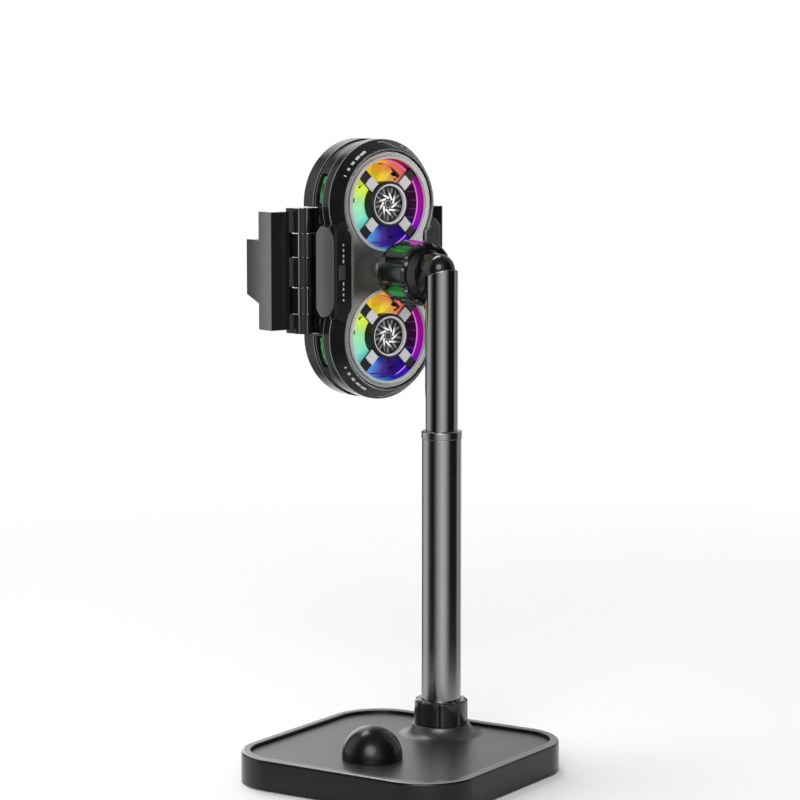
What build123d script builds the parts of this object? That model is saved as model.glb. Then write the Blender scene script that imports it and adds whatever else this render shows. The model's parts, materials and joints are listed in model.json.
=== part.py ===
from build123d import *
from math import asin, cos, pi, radians, sin, sqrt, tan
import os

# A phone cooler with two fans on a desk stand.
# The mast stands on the Z axis, the table is at Z = 0, the fans face -Y and the
# phone is held on the +Y side. All lengths are millimetres, all angles degrees.

os.makedirs("parts", exist_ok=True)

# Fits shared by all pieces
slip = 0.05                 # radial clearance of a running fit
seat = 0.05                 # clearance round a piece that is fixed in its seat
part_line = 0.25            # visible gap between two shells
overrun = 2.0               # how far a cut runs past the piece

# Base
base_side = 102.5
base_corner = 22.0
base_height = 12.5
base_yaw = 20.0             # the stand is turned about the mast, as it stands in use
mast_offset = 29.2          # from the middle of the base to the mast
shell_wall = 2.4
shell_lift = 0.6
shell_round = 1.2
rim_width = 3.5
ledge_reach = 3.0
mat_thickness = 1.2
mat_inset = 3.2
cover_thickness = 1.5
weight_side = 84.0
weight_corner = 18.0
weight_thickness = 5.5
deck_thickness = 1.5
deck_drop = 1.5             # the deck lies this much below the rim
post_pitch = 80.0
post_radius = 3.5
base_screw_radius = 1.2
base_screw_head = 2.6
base_screw_head_height = 0.9
base_screw_length = 5.0

# Boss, mast nut and the bolt below the mast
boss_radius = 17.4
boss_neck = 11.6
boss_height = 4.3
under_boss_radius = 14.0
spigot_wall = 1.55
spigot_height = 6.2
nut_radius = 10.65
nut_height = 9.8
nut_lip = 3.4
nut_lobes = 8
nut_flute = 1.7
nut_gap = 0.1
nut_round = 0.7
bolt_radius = 3.0
bolt_head_radius = 5.0
bolt_head_height = 3.0
bolt_length = 12.5
bolt_relief = 0.2
washer_radius = 6.5
washer_thickness = 0.8
bolt_pocket_radius = 7.0
bolt_pocket_depth = 4.0

# Dome on the deck
dome_radius = 11.8
dome_skirt = 1.0
dome_distance = 50.0        # from the mast, across the middle of the base
dome_peg = 2.5

# Mast
mast_radius = 8.0
mast_wall = 1.0
outer_tube_top = 130.4
plug_height = 13.8
collar_radius = 8.25
collar_height = 3.2
collar_depth = 12.0
collar_chamfer = 0.5
inner_radius = 6.5
inner_wall = 0.8
inner_bottom = 82.0
swivel_plug_length = 8.0
swivel_plug_spigot = 12.0
rim_slant = 20.0
rim_round = 0.3

# Ball joint
head_height = 195.1         # of the ball and of the middle of the cooler
rim_rise = 0.3              # of the tube's slanted rim above the ball, on the mast axis
ball_y = 22.0
ball_radius = 7.5
liner_wall = 0.85
liner_back = 125.0          # how far the liners wrap round the ball, from its stem
inner_mouth = 27.0
outer_mouth = 45.0
nut_mouth = 55.0
socket_wall = 1.0
socket_back = 14.2          # from the ball's middle back to the socket's rear
socket_rear_radius = 7.6
socket_cone = 1.7
nose = 0.6                  # how far the socket's nose passes the ball's middle
horn_radius = 6.1           # of the knee above the tube
horn_y = 1.3
horn_rise = 2.2             # of its middle above the ball
horn_half_width = 6.8       # where the horn meets the socket
horn_half_height = 9.2
horn_gap = 0.15
lock_nut_radius = 12.9
lock_nut_back = 13.0        # from the ball's middle back to the nut's rear
lock_nut_grip = 1.7         # from the ball's middle forward to the end of the lobes
lock_nut_ring = 11.3
lock_nut_front = 6.3
lock_nut_gap = 0.2
lock_nut_flute = 2.6
lock_nut_flute_depth = 1.1
lock_nut_round = 0.9
lock_nut_lip = 0.9
stem_radius = 3.0
flange_radius = 5.0
flange_thickness = 1.4
spigot_length = 7.0

# Cooler, measured from its front plane towards the phone
cooler_front = 34.5
slope_depth = 5.4
shell_depth = 10.0
frame_depth = 16.0
case_depth = 24.0
pad_depth = 24.7
fan_offset = 26.7           # from the middle to each fan
cooler_radius = 26.0
waist_draw = 1.0            # from the cooler's radius in to its waist
slope_width = 3.4           # from the cooler's radius in to its front face
waist_slope_width = 4.8
frame_inset = 0.6
cooler_wall = 1.4
front_wall = 2.0
block_proud = 0.5           # of the block's sides past the cooler's radius
block_half_height = 20.5
block_depth = 13.5
block_chamfer = 3.0
block_edge = 0.6

# Face plate and fan openings
plate_radius = 21.3
plate_waist = 17.8
plate_neck_round = 4.0
channel_depth = 1.1         # of the sloped channel round the plate
plate_drop = 0.4
plate_flange = 1.0
plate_flange_reach = 0.5
opening_radius = 19.2
pocket_half_width = 16.4
pocket_half_height = 5.6
pocket_depth = 0.8

# Fan guard and hub cap
guard_proud = 0.3
guard_inner = 18.4
guard_bevel = 0.5
guard_depth = 3.0
spoke_count = 4
spoke_width = 4.2
spoke_drop = 0.7
spoke_thickness = 1.4
block_inner = 9.2
block_outer = 14.0
spoke_block_height = 0.4
hub_outer = 9.2
hub_inner = 7.4
hub_depth = 4.4
cap_drop = 1.0
cap_thickness = 1.4
vane_count = 9
vane_height = 0.35
vane_width = 0.8
vane_inner = 1.2
vane_outer = 6.8
vane_sweep = 34.0
cap_boss = 1.6

# Light ring and its board
ring_outer = 19.1
ring_front = 18.2
ring_back = 16.3
ring_length = 6.0
board_inner = 16.6
board_outer = 19.3
board_thickness = 1.0
led_count = 8
led_side = 1.6
led_height = 0.6

# Impeller, rotor shaft and motor
blade_count = 9
hub_radius = 8.5
hub_top = 4.9               # of the impeller's hub, below the front plane
hub_roof = 1.2
hub_wall = 1.2
hub_length = 7.2
tip_radius = 15.8
blade_top = 6.1
blade_thickness = 1.3
blade_root_height = 5.0
blade_root_run = 5.3
blade_tip_height = 4.4
blade_tip_run = 10.2
blade_lean = 3.4
shaft_radius = 1.0
motor_radius = 6.9
motor_gap = 0.5
motor_foot_radius = 8.4
motor_foot = 0.9

# Mid frame
shelf_thickness = 1.2
inlet_radius = 16.4
frame_plate = 1.0
sink_hole_radius = 16.9
column_radius = 6.0
vent_angle = 30.0
vent_rise = 14.0            # of a vent's middle above its fan's axis
post_reach = 22.0           # from a fan's axis to its case screw
case_post_radius = 3.0
case_screw_radius = 1.0
case_screw_head = 1.9
case_screw_head_height = 1.2
case_screw_length = 10.0

# Jaw pockets in the sides of the case
pocket_half_span = 18.5
pocket_half_tall = 25.6
pocket_front = 13.4
pocket_wall = 1.2

# Heat sinks, coolers and the pad
sink_radius = 17.1
fin_radius = 16.6
sink_base = 1.8
fin_count = 13
fin_pitch = 2.5
fin_thickness = 0.9
fin_depth = 3.3
peltier_side = 23.0
peltier_thickness = 3.2
cold_plate_thickness = 1.5
cold_plate_margin = 0.7
pad_width = 30.0
pad_height = 92.0
case_round = 1.6

# Grip panels, button and board
grip_half_height = 18.2
grip_front = 1.3
grip_depth = 11.9
grip_round = 8.0
grip_chamfer = 3.0
grip_recess = 0.8
grip_proud = 0.4
button_x = -23.4
button_width = 3.2
button_height = 6.0
button_proud = 0.15
button_stem = 5.9
button_flange = 0.6
button_flange_reach = 0.5
button_travel = 0.6
main_board_left = -23.6
main_board_right = -7.0
main_board_half_height = 6.0
main_board_thickness = 1.0
switch_side = 4.0
switch_height = 1.0
board_peg_radius = 1.2
board_peg_spread = 4.0
board_peg_x = -18.0
inlet_width = 9.0
inlet_height = 3.2
inlet_length = 7.0
inlet_wall = 0.4
inlet_tongue = 0.7

# Jaws and their slide
hinge_x = 30.0
hinge_y = 52.5
carriage_knuckle_radius = 4.2
jaw_knuckle_radius = 3.9
pin_radius = 1.5
hinge_height = 50.8
knuckle_shares = (0.20, 0.19, 0.24, 0.21, 0.16)    # of the hinge's height, from the top
knuckle_gap = 0.15
crossbar_thickness = 2.0
crossbar_gap = 0.25
crossbar_depth = 4.8
crossbar_drop = 0.05
crossbar_half_height = 25.3
lip_reach = 2.0             # past the hinge's axis
lip_thickness = 0.9
jaw_reach = 43.6
jaw_front = 55.6
jaw_plate = 2.2
jaw_half_height = 23.8
jaw_side_wall = 2.2
jaw_side_end = 64.0
tab_end = 72.6
tab_top = 12.3
tab_bottom = -9.9
tab_chamfer = 3.4
hook_inner = 36.8
hook_thickness = 3.2
pad_thickness = 2.4
jaw_pad_margin = 1.2
jaw_edge_round = 0.8

# Racks and pinion
tooth_module = 0.8
pinion_teeth = 10
rack_thickness = 2.8
rack_y = 51.7
rack_back = 3.2
rack_reach = 9.6            # past the pinion's axis
tooth_slack = 0.14
axle_radius = 1.5
axle_grip = 4.0

# Derived levels of the base
cover_z = mat_thickness
weight_z = cover_z + cover_thickness
ledge_z = weight_z + weight_thickness
deck_z = base_height - deck_drop - deck_thickness
deck_top = deck_z + deck_thickness
boss_top = deck_top + boss_height
spigot_radius = mast_radius + slip + spigot_wall
nut_bottom = boss_top + nut_gap
collar_top = outer_tube_top + collar_height
tube_bore = mast_radius - mast_wall
inner_bore = inner_radius - inner_wall

# Derived depths of the cooler
waist_half = cooler_radius - waist_draw
face_radius = cooler_radius - slope_width
face_waist = waist_half - waist_slope_width
block_half_width = cooler_radius + block_proud
slope_y = cooler_front + slope_depth
shell_y = cooler_front + shell_depth
frame_y = cooler_front + frame_depth
case_y = cooler_front + case_depth
pad_y = cooler_front + pad_depth
plate_front = cooler_front + plate_drop
plate_back = cooler_front + front_wall + plate_flange
guard_back = cooler_front + guard_depth
shelf_y = shell_y + shelf_thickness
frame_plate_y = frame_y - frame_plate
floor_y = case_y - cold_plate_thickness
pocket_y = cooler_front + pocket_front
sink_base_y = frame_y + sink_base
peltier_y = sink_base_y + peltier_thickness
fin_y = frame_y - fin_depth
hub_front = cooler_front + hub_top
board_y = shell_y - board_thickness

base_x_dir = (cos(radians(base_yaw)), sin(radians(base_yaw)), 0)
base_middle = (-mast_offset * base_x_dir[0], -mast_offset * base_x_dir[1])
sides = {"left": -1, "right": 1}
levels = {"upper": 1, "lower": -1}


def base_at(height):
    """Plane of the base at a height, with its origin in the middle of the base."""
    return Plane(origin=(*base_middle, height), x_dir=base_x_dir, z_dir=(0, 0, 1))


def mast_at(height):
    """Horizontal plane through the mast at a height."""
    return Plane.XY.offset(height)


def front_at(depth):
    """Upright plane that faces the fans' side, with its origin on the head's axis."""
    return Plane(origin=(0, depth, head_height), x_dir=(1, 0, 0), z_dir=(0, -1, 0))


def spin_at(depth, height=head_height):
    """Plane of a profile that is turned about a line along Y: x is depth, y is radius."""
    return Plane(origin=(0, depth, height), x_dir=(0, 1, 0), z_dir=(1, 0, 0))


def fan_axis(level):
    """Axis of the upper or the lower fan."""
    return Axis((0, 0, head_height + level * fan_offset), (0, 1, 0))


def twin_outline(radius, half_waist):
    """Outline of two circles on the fans' axes, joined by a straight-sided waist."""
    with Locations((0, fan_offset), (0, -fan_offset)):
        Circle(radius)
    Rectangle(2 * half_waist, 2 * fan_offset)


def save(piece, name):
    """Label a finished piece and write it."""
    piece.part.label = name
    export_step(piece.part, f"parts/{name}.step")


# Base: a shell with a raised rim, open below
with BuildPart() as base_shell:
    with BuildSketch(base_at(shell_lift)):
        RectangleRounded(base_side, base_side, base_corner)
    extrude(amount=base_height - shell_lift)
    fillet(base_shell.edges().group_by(Axis.Z)[-1], shell_round)
    with BuildSketch(base_at(deck_z)):
        recess_side = base_side - 2 * rim_width
        RectangleRounded(recess_side, recess_side, base_corner - rim_width)
    extrude(amount=base_height - deck_z + overrun, mode=Mode.SUBTRACT)
    with BuildSketch(base_at(ledge_z)):
        cavity_side = base_side - 2 * shell_wall
        RectangleRounded(cavity_side, cavity_side, base_corner - shell_wall)
    extrude(amount=-(ledge_z - shell_lift + overrun), mode=Mode.SUBTRACT)
    with BuildSketch(base_at(ledge_z)):
        window_side = recess_side - 2 * ledge_reach
        RectangleRounded(window_side, window_side, base_corner - rim_width - ledge_reach)
    extrude(amount=deck_z - ledge_z, mode=Mode.SUBTRACT)
    with BuildSketch(base_at(weight_z)):
        with GridLocations(post_pitch, post_pitch, 2, 2):
            Circle(post_radius)
    extrude(amount=deck_z - weight_z)
    with BuildSketch(base_at(weight_z)):
        with GridLocations(post_pitch, post_pitch, 2, 2):
            Circle(base_screw_radius)
    extrude(amount=base_screw_length, mode=Mode.SUBTRACT)
save(base_shell, "base_shell")

# Deck: the sunk top panel with the boss and the spigot round the mast
with BuildPart() as deck_panel:
    with BuildSketch(base_at(deck_z)):
        deck_side = base_side - 2 * (rim_width + part_line)
        RectangleRounded(deck_side, deck_side, base_corner - rim_width - part_line)
    extrude(amount=deck_thickness)
    with BuildSketch(Plane.XZ):
        with BuildLine():
            boss_rise = TangentArc((boss_radius, deck_top), (boss_neck, boss_top), tangent=(-1, 0))
            Polyline(
                boss_rise @ 1,
                (spigot_radius, boss_top),
                (spigot_radius, boss_top + spigot_height),
                (0, boss_top + spigot_height),
                (0, ledge_z),
                (under_boss_radius, ledge_z),
                (under_boss_radius, deck_z),
                (boss_radius, deck_z),
                boss_rise @ 0,
            )
        make_face()
    revolve(axis=Axis.Z)
    with BuildSketch(mast_at(ledge_z - overrun)):
        Circle(mast_radius + slip)
    extrude(amount=boss_top + spigot_height - ledge_z + 2 * overrun, mode=Mode.SUBTRACT)
    with BuildSketch(base_at(deck_z)):
        with Locations((mast_offset - dome_distance, 0)):
            Circle(dome_peg + seat)
    extrude(amount=deck_thickness, mode=Mode.SUBTRACT)
save(deck_panel, "deck_panel")

# Dome with its peg through the deck
dome_plane = base_at(deck_top)
dome_middle = dome_plane.from_local_coords((mast_offset - dome_distance, 0, 0))
dome_profile_plane = Plane(origin=dome_middle, x_dir=(1, 0, 0), z_dir=(0, -1, 0))
with BuildPart() as base_dome:
    with BuildSketch(dome_profile_plane):
        with BuildLine():
            Polyline(
                (0, dome_skirt + dome_radius),
                (0, -deck_thickness),
                (dome_peg, -deck_thickness),
                (dome_peg, 0),
                (dome_radius, 0),
                (dome_radius, dome_skirt),
            )
            CenterArc((0, dome_skirt), dome_radius, 0, 90)
        make_face()
    revolve(axis=Axis(dome_middle, (0, 0, 1)))
save(base_dome, "base_dome")

# Steel weight, bolted up against the boss
with BuildPart() as base_weight:
    with BuildSketch(base_at(weight_z)):
        RectangleRounded(weight_side, weight_side, weight_corner)
    extrude(amount=weight_thickness)
    chamfer(base_weight.edges().group_by(Axis.Z)[-1], shell_lift)
    with BuildSketch(mast_at(weight_z)):
        Circle(bolt_pocket_radius)
    extrude(amount=bolt_pocket_depth, mode=Mode.SUBTRACT)
    with BuildSketch(mast_at(weight_z)):
        Circle(bolt_radius + part_line)
    extrude(amount=weight_thickness, mode=Mode.SUBTRACT)
save(base_weight, "base_weight")

# Bottom cover, its screws and the rubber mat
with BuildPart() as bottom_cover:
    with BuildSketch(base_at(cover_z)):
        cover_side = base_side - 2 * (shell_wall + part_line)
        RectangleRounded(cover_side, cover_side, base_corner - shell_wall - part_line)
        with GridLocations(post_pitch, post_pitch, 2, 2):
            Circle(base_screw_radius + seat, mode=Mode.SUBTRACT)
    extrude(amount=cover_thickness)
    with BuildSketch(base_at(cover_z)):
        with GridLocations(post_pitch, post_pitch, 2, 2):
            Circle(base_screw_head + seat)
    extrude(amount=base_screw_head_height, mode=Mode.SUBTRACT)
save(bottom_cover, "bottom_cover")

with BuildPart() as base_screws:
    with BuildSketch(base_at(cover_z)):
        with GridLocations(post_pitch, post_pitch, 2, 2):
            Circle(base_screw_head)
    extrude(amount=base_screw_head_height)
    with BuildSketch(base_at(cover_z)):
        with GridLocations(post_pitch, post_pitch, 2, 2):
            Circle(base_screw_radius - seat)
    extrude(amount=base_screw_length)
save(base_screws, "base_screws")

with BuildPart() as rubber_mat:
    with BuildSketch(base_at(0)):
        mat_side = base_side - 2 * mat_inset
        RectangleRounded(mat_side, mat_side, base_corner - mat_inset)
    extrude(amount=mat_thickness)
save(rubber_mat, "rubber_mat")

# Bolt, washer and plug that hold the outer tube down
washer_z = weight_z + bolt_pocket_depth - washer_thickness
with BuildPart() as mast_washer:
    with BuildSketch(mast_at(washer_z)):
        Circle(washer_radius)
        Circle(bolt_radius + seat, mode=Mode.SUBTRACT)
    extrude(amount=washer_thickness)
save(mast_washer, "mast_washer")

with BuildPart() as mast_bolt:
    with BuildSketch(mast_at(washer_z)):
        RegularPolygon(bolt_head_radius, 6)
    extrude(amount=-bolt_head_height + bolt_relief)
    with BuildSketch(mast_at(washer_z)):
        Circle(bolt_radius)
    extrude(amount=bolt_length)
save(mast_bolt, "mast_bolt")

with BuildPart() as mast_plug:
    with BuildSketch(mast_at(ledge_z)):
        Circle(tube_bore - seat)
        Circle(bolt_radius + seat, mode=Mode.SUBTRACT)
    extrude(amount=plug_height)
save(mast_plug, "mast_plug")

# Mast nut: a lobed grip over the spigot
with BuildPart() as mast_nut:
    with BuildSketch(mast_at(nut_bottom)):
        Circle(nut_radius)
        with PolarLocations(nut_radius + nut_flute / 2, nut_lobes):
            Circle(nut_flute, mode=Mode.SUBTRACT)
    extrude(amount=nut_height)
    chamfer(mast_nut.edges().group_by(Axis.Z)[-1], nut_round)
    with BuildSketch(mast_at(nut_bottom)):
        Circle(spigot_radius + slip)
    extrude(amount=nut_height - nut_lip, mode=Mode.SUBTRACT)
    with BuildSketch(mast_at(nut_bottom)):
        Circle(mast_radius + slip)
    extrude(amount=nut_height, mode=Mode.SUBTRACT)
save(mast_nut, "mast_nut")

# Mast tubes, the collar between them and the plug that slides
with BuildPart() as outer_tube:
    with BuildSketch(mast_at(ledge_z)):
        Circle(mast_radius)
        Circle(tube_bore, mode=Mode.SUBTRACT)
    extrude(amount=outer_tube_top - ledge_z)
save(outer_tube, "outer_tube")

with BuildPart() as tube_collar:
    with BuildSketch(mast_at(outer_tube_top)):
        Circle(collar_radius)
    extrude(amount=collar_height)
    chamfer(tube_collar.edges().group_by(Axis.Z)[-1], collar_chamfer)
    with BuildSketch(mast_at(outer_tube_top - collar_depth)):
        Circle(tube_bore - seat)
    extrude(amount=collar_depth)
    with BuildSketch(mast_at(outer_tube_top - collar_depth)):
        Circle(inner_radius + slip)
    extrude(amount=collar_depth + collar_height, mode=Mode.SUBTRACT)
save(tube_collar, "tube_collar")

with BuildPart() as swivel_plug:
    with BuildSketch(mast_at(inner_bottom - swivel_plug_length)):
        Circle(tube_bore - slip)
    extrude(amount=swivel_plug_length)
    with BuildSketch(mast_at(inner_bottom)):
        Circle(inner_bore - slip)
    extrude(amount=swivel_plug_spigot)
    chamfer(swivel_plug.edges().group_by(Axis.Z)[-1], collar_chamfer)
save(swivel_plug, "swivel_plug")

rim_normal = (0, sin(radians(rim_slant)), cos(radians(rim_slant)))
rim_height = head_height + rim_rise
rim_plane = Plane(origin=(0, 0, rim_height), z_dir=rim_normal)
with BuildPart() as inner_tube:
    with BuildSketch(mast_at(inner_bottom)):
        Circle(inner_radius)
        Circle(inner_bore, mode=Mode.SUBTRACT)
    extrude(amount=rim_height - inner_bottom + inner_radius)
    split(bisect_by=rim_plane, keep=Keep.BOTTOM)
    fillet(inner_tube.faces().sort_by(Axis.Z)[-1].outer_wire().edges(), rim_round)
save(inner_tube, "inner_tube")

# Elbow: a horn that grows out of the tube into the ball's socket
liner_gap = slip
inner_liner_radius = ball_radius + liner_gap
outer_liner_radius = inner_liner_radius + liner_wall + liner_gap
socket_bore = outer_liner_radius + liner_wall + liner_gap
nose_radius = socket_bore + socket_wall
ball_axis = Axis((0, ball_y, head_height), (0, 1, 0))
horn_z = head_height + horn_rise
horn_start = Plane(origin=(0, horn_y, horn_z), x_dir=(1, 0, 0), z_dir=(0, 1, 0))
horn_end = Plane(origin=(0, ball_y - socket_back, head_height), x_dir=(1, 0, 0), z_dir=(0, 1, 0))

with BuildPart() as tube_room:
    with BuildSketch(mast_at(inner_bottom)):
        Circle(inner_radius + horn_gap)
    extrude(amount=rim_height - inner_bottom + 2 * inner_radius)
    split(bisect_by=rim_plane.offset(horn_gap), keep=Keep.BOTTOM)

with BuildPart() as horn_plug:
    with BuildSketch(mast_at(rim_height - 3 * inner_radius)):
        Circle(inner_bore - seat)
    extrude(amount=4 * inner_radius)
    split(bisect_by=rim_plane.offset(horn_gap + rim_round), keep=Keep.BOTTOM)

with BuildPart() as elbow:
    with BuildSketch(horn_start):
        Circle(horn_radius)
    with BuildSketch(horn_end):
        Ellipse(horn_half_width, horn_half_height)
    loft()
    with Locations((0, horn_y, horn_z)):
        Sphere(horn_radius)
    with BuildSketch(spin_at(ball_y)):
        with BuildLine():
            Polyline(
                (-socket_back, 0),
                (-socket_back, socket_rear_radius),
                (-socket_back + socket_cone, nose_radius),
                (nose, nose_radius),
                (nose, 0),
                (-socket_back, 0),
            )
        make_face()
    revolve(axis=ball_axis)
    add(tube_room.part, mode=Mode.SUBTRACT)
    add(horn_plug.part)
    with BuildSketch(spin_at(ball_y)):
        with BuildLine():
            Polyline((-socket_bore, 0), (nose + overrun, 0), (nose + overrun, socket_bore), (0, socket_bore))
            CenterArc((0, 0), socket_bore, 90, 90)
        make_face()
    revolve(axis=ball_axis, mode=Mode.SUBTRACT)
save(elbow, "elbow")

# Lock nut: a lobed grip whose rounded seat holds the ball in the socket
mouth_x = socket_bore * cos(radians(nut_mouth))
mouth_r = socket_bore * sin(radians(nut_mouth))
nut_step = nose + lock_nut_gap
nut_step_r = sqrt(socket_bore ** 2 - nut_step ** 2)
with BuildPart() as ball_lock_nut:
    with BuildSketch(front_at(ball_y - lock_nut_back)):
        Circle(lock_nut_radius)
        flute_reach = lock_nut_radius + lock_nut_flute - lock_nut_flute_depth
        with PolarLocations(flute_reach, nut_lobes, start_angle=180 / nut_lobes):
            Circle(lock_nut_flute, mode=Mode.SUBTRACT)
    extrude(amount=-(lock_nut_back + lock_nut_grip))
    chamfer(ball_lock_nut.edges().group_by(Axis.Y)[-1], lock_nut_round)
    chamfer(ball_lock_nut.edges().group_by(Axis.Y)[0], lock_nut_round)
    with BuildSketch(front_at(ball_y)):
        Circle(lock_nut_ring)
    extrude(amount=-lock_nut_front)
    chamfer(ball_lock_nut.edges().group_by(Axis.Y)[-1], lock_nut_round)
    with BuildSketch(spin_at(ball_y)):
        with BuildLine():
            Polyline(
                (mouth_x, mouth_r),
                (lock_nut_front + overrun, mouth_r + lock_nut_lip),
                (lock_nut_front + overrun, 0),
                (-lock_nut_back - overrun, 0),
                (-lock_nut_back - overrun, nose_radius + slip),
                (nut_step, nose_radius + slip),
                (nut_step, nut_step_r),
            )
            RadiusArc((nut_step, nut_step_r), (mouth_x, mouth_r), socket_bore)
        make_face()
    revolve(axis=ball_axis, mode=Mode.SUBTRACT)
save(ball_lock_nut, "ball_lock_nut")

# Nylon liners of the ball, one inside the other
for name, radius, mouth in (
    ("outer_ball_liner", outer_liner_radius, outer_mouth),
    ("inner_ball_liner", inner_liner_radius, inner_mouth),
):
    with BuildPart() as ball_liner:
        with BuildSketch(spin_at(ball_y)):
            with BuildLine():
                inner_arc = CenterArc((0, 0), radius, mouth, liner_back - mouth)
                outer_arc = CenterArc((0, 0), radius + liner_wall, mouth, liner_back - mouth)
                Line(inner_arc @ 0, outer_arc @ 0)
                Line(inner_arc @ 1, outer_arc @ 1)
            make_face()
        revolve(axis=ball_axis)
    save(ball_liner, name)

# Ball stud: ball, stem, flange in the plate's pocket and spigot in the column
pocket_bottom = plate_front + pocket_depth - ball_y
with BuildPart() as ball_stud:
    with BuildSketch(spin_at(ball_y)):
        with BuildLine():
            stem_start = sqrt(ball_radius ** 2 - stem_radius ** 2)
            Polyline(
                (stem_start, stem_radius),
                (pocket_bottom - flange_thickness, stem_radius),
                (pocket_bottom - flange_thickness, flange_radius),
                (pocket_bottom, flange_radius),
                (pocket_bottom, stem_radius),
                (pocket_bottom + spigot_length, stem_radius),
                (pocket_bottom + spigot_length, 0),
                (-ball_radius, 0),
            )
            RadiusArc((-ball_radius, 0), (stem_start, stem_radius), ball_radius)
        make_face()
    revolve(axis=ball_axis)
save(ball_stud, "ball_stud")

# Front bezel: sloped shell with a waist block that carries the grips
with BuildPart() as front_bezel:
    with BuildSketch(front_at(shell_y)):
        twin_outline(cooler_radius, waist_half)
    extrude(amount=shell_depth - slope_depth)
    with BuildSketch(front_at(slope_y)):
        twin_outline(cooler_radius, waist_half)
    with BuildSketch(front_at(cooler_front)):
        twin_outline(face_radius, face_waist)
    loft(ruled=True)
    with BuildSketch(front_at(cooler_front + block_depth)) as block_sketch:
        Rectangle(2 * block_half_width, 2 * block_half_height)
        chamfer(block_sketch.vertices(), block_chamfer)
    extrude(amount=block_depth)
    chamfer(front_bezel.edges().group_by(Axis.Y)[0].filter_by(GeomType.LINE), block_edge)
    with BuildSketch(front_at(cooler_front + front_wall)):
        twin_outline(face_radius - frame_inset, face_waist + cooler_wall)
    extrude(amount=-(slope_depth + frame_inset - front_wall), mode=Mode.SUBTRACT)
    with BuildSketch(front_at(slope_y + frame_inset)):
        twin_outline(cooler_radius - cooler_wall, waist_half - cooler_wall + part_line)
    extrude(amount=-(block_depth + overrun), mode=Mode.SUBTRACT)
    with BuildSketch(front_at(shell_y)):
        twin_outline(cooler_radius - frame_inset + part_line, waist_half - cooler_wall + part_line)
    extrude(amount=-(block_depth + overrun), mode=Mode.SUBTRACT)
    with BuildSketch(front_at(cooler_front - overrun)) as opening_sketch:
        twin_outline(plate_radius, plate_waist)
        fillet(opening_sketch.vertices(), plate_neck_round)
    extrude(amount=-(front_wall + 2 * overrun), mode=Mode.SUBTRACT)
    chamfer(front_bezel.faces().sort_by(Axis.Y)[0].inner_wires()[0].edges(), channel_depth)
    with BuildSketch(front_at(cooler_front - overrun)):
        with Locations((button_x, 0)):
            Rectangle(button_width + 2 * slip, button_height + 2 * slip)
    extrude(amount=-(slope_depth + 2 * overrun), mode=Mode.SUBTRACT)
    for side in sides.values():
        grip_floor = Plane(
            origin=(side * (block_half_width - grip_recess), cooler_front, head_height),
            x_dir=(0, 1, 0),
            z_dir=(1, 0, 0),
        )
        with BuildSketch(grip_floor):
            with Locations((grip_front + grip_depth / 2, 0)):
                Rectangle(grip_depth + 2 * seat, 2 * (grip_half_height + seat))
        extrude(amount=side * overrun, mode=Mode.SUBTRACT)
save(front_bezel, "front_bezel")

# Grip panels, round at the front and chamfered at the back
for side_name, side in sides.items():
    grip_plane = Plane(
        origin=(side * (block_half_width - grip_recess), cooler_front, head_height),
        x_dir=(0, 1, 0),
        z_dir=(1, 0, 0),
    )
    with BuildPart() as grip_panel:
        with BuildSketch(grip_plane) as grip_sketch:
            with Locations((grip_front + grip_depth / 2, 0)):
                Rectangle(grip_depth, 2 * grip_half_height)
            fillet(grip_sketch.vertices().group_by(Axis.X)[0], grip_round)
            chamfer(grip_sketch.vertices().group_by(Axis.X)[-1], grip_chamfer)
        extrude(amount=side * (grip_recess + grip_proud))
    save(grip_panel, f"{side_name}_grip_panel")

# Face plate: its flange sits behind the bezel, its pocket takes the ball stud
with BuildPart() as face_plate:
    with BuildSketch(front_at(plate_back)) as flange_sketch:
        twin_outline(plate_radius + plate_flange_reach, plate_waist + plate_flange_reach)
        fillet(flange_sketch.vertices(), plate_neck_round)
    extrude(amount=plate_flange)
    with BuildSketch(front_at(plate_back)) as plate_sketch:
        twin_outline(plate_radius - part_line, plate_waist - part_line)
        fillet(plate_sketch.vertices(), plate_neck_round)
    extrude(amount=plate_back - plate_front)
    with BuildSketch(front_at(plate_back)):
        with Locations((0, fan_offset), (0, -fan_offset)):
            Circle(opening_radius + seat)
    extrude(amount=plate_back - cooler_front, mode=Mode.SUBTRACT)
    with BuildSketch(front_at(plate_front + pocket_depth)):
        Rectangle(2 * pocket_half_width, 2 * pocket_half_height)
    extrude(amount=pocket_depth + overrun, mode=Mode.SUBTRACT)
    with BuildSketch(front_at(plate_back)):
        Circle(stem_radius + seat)
    extrude(amount=plate_back - cooler_front, mode=Mode.SUBTRACT)
save(face_plate, "face_plate")

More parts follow.
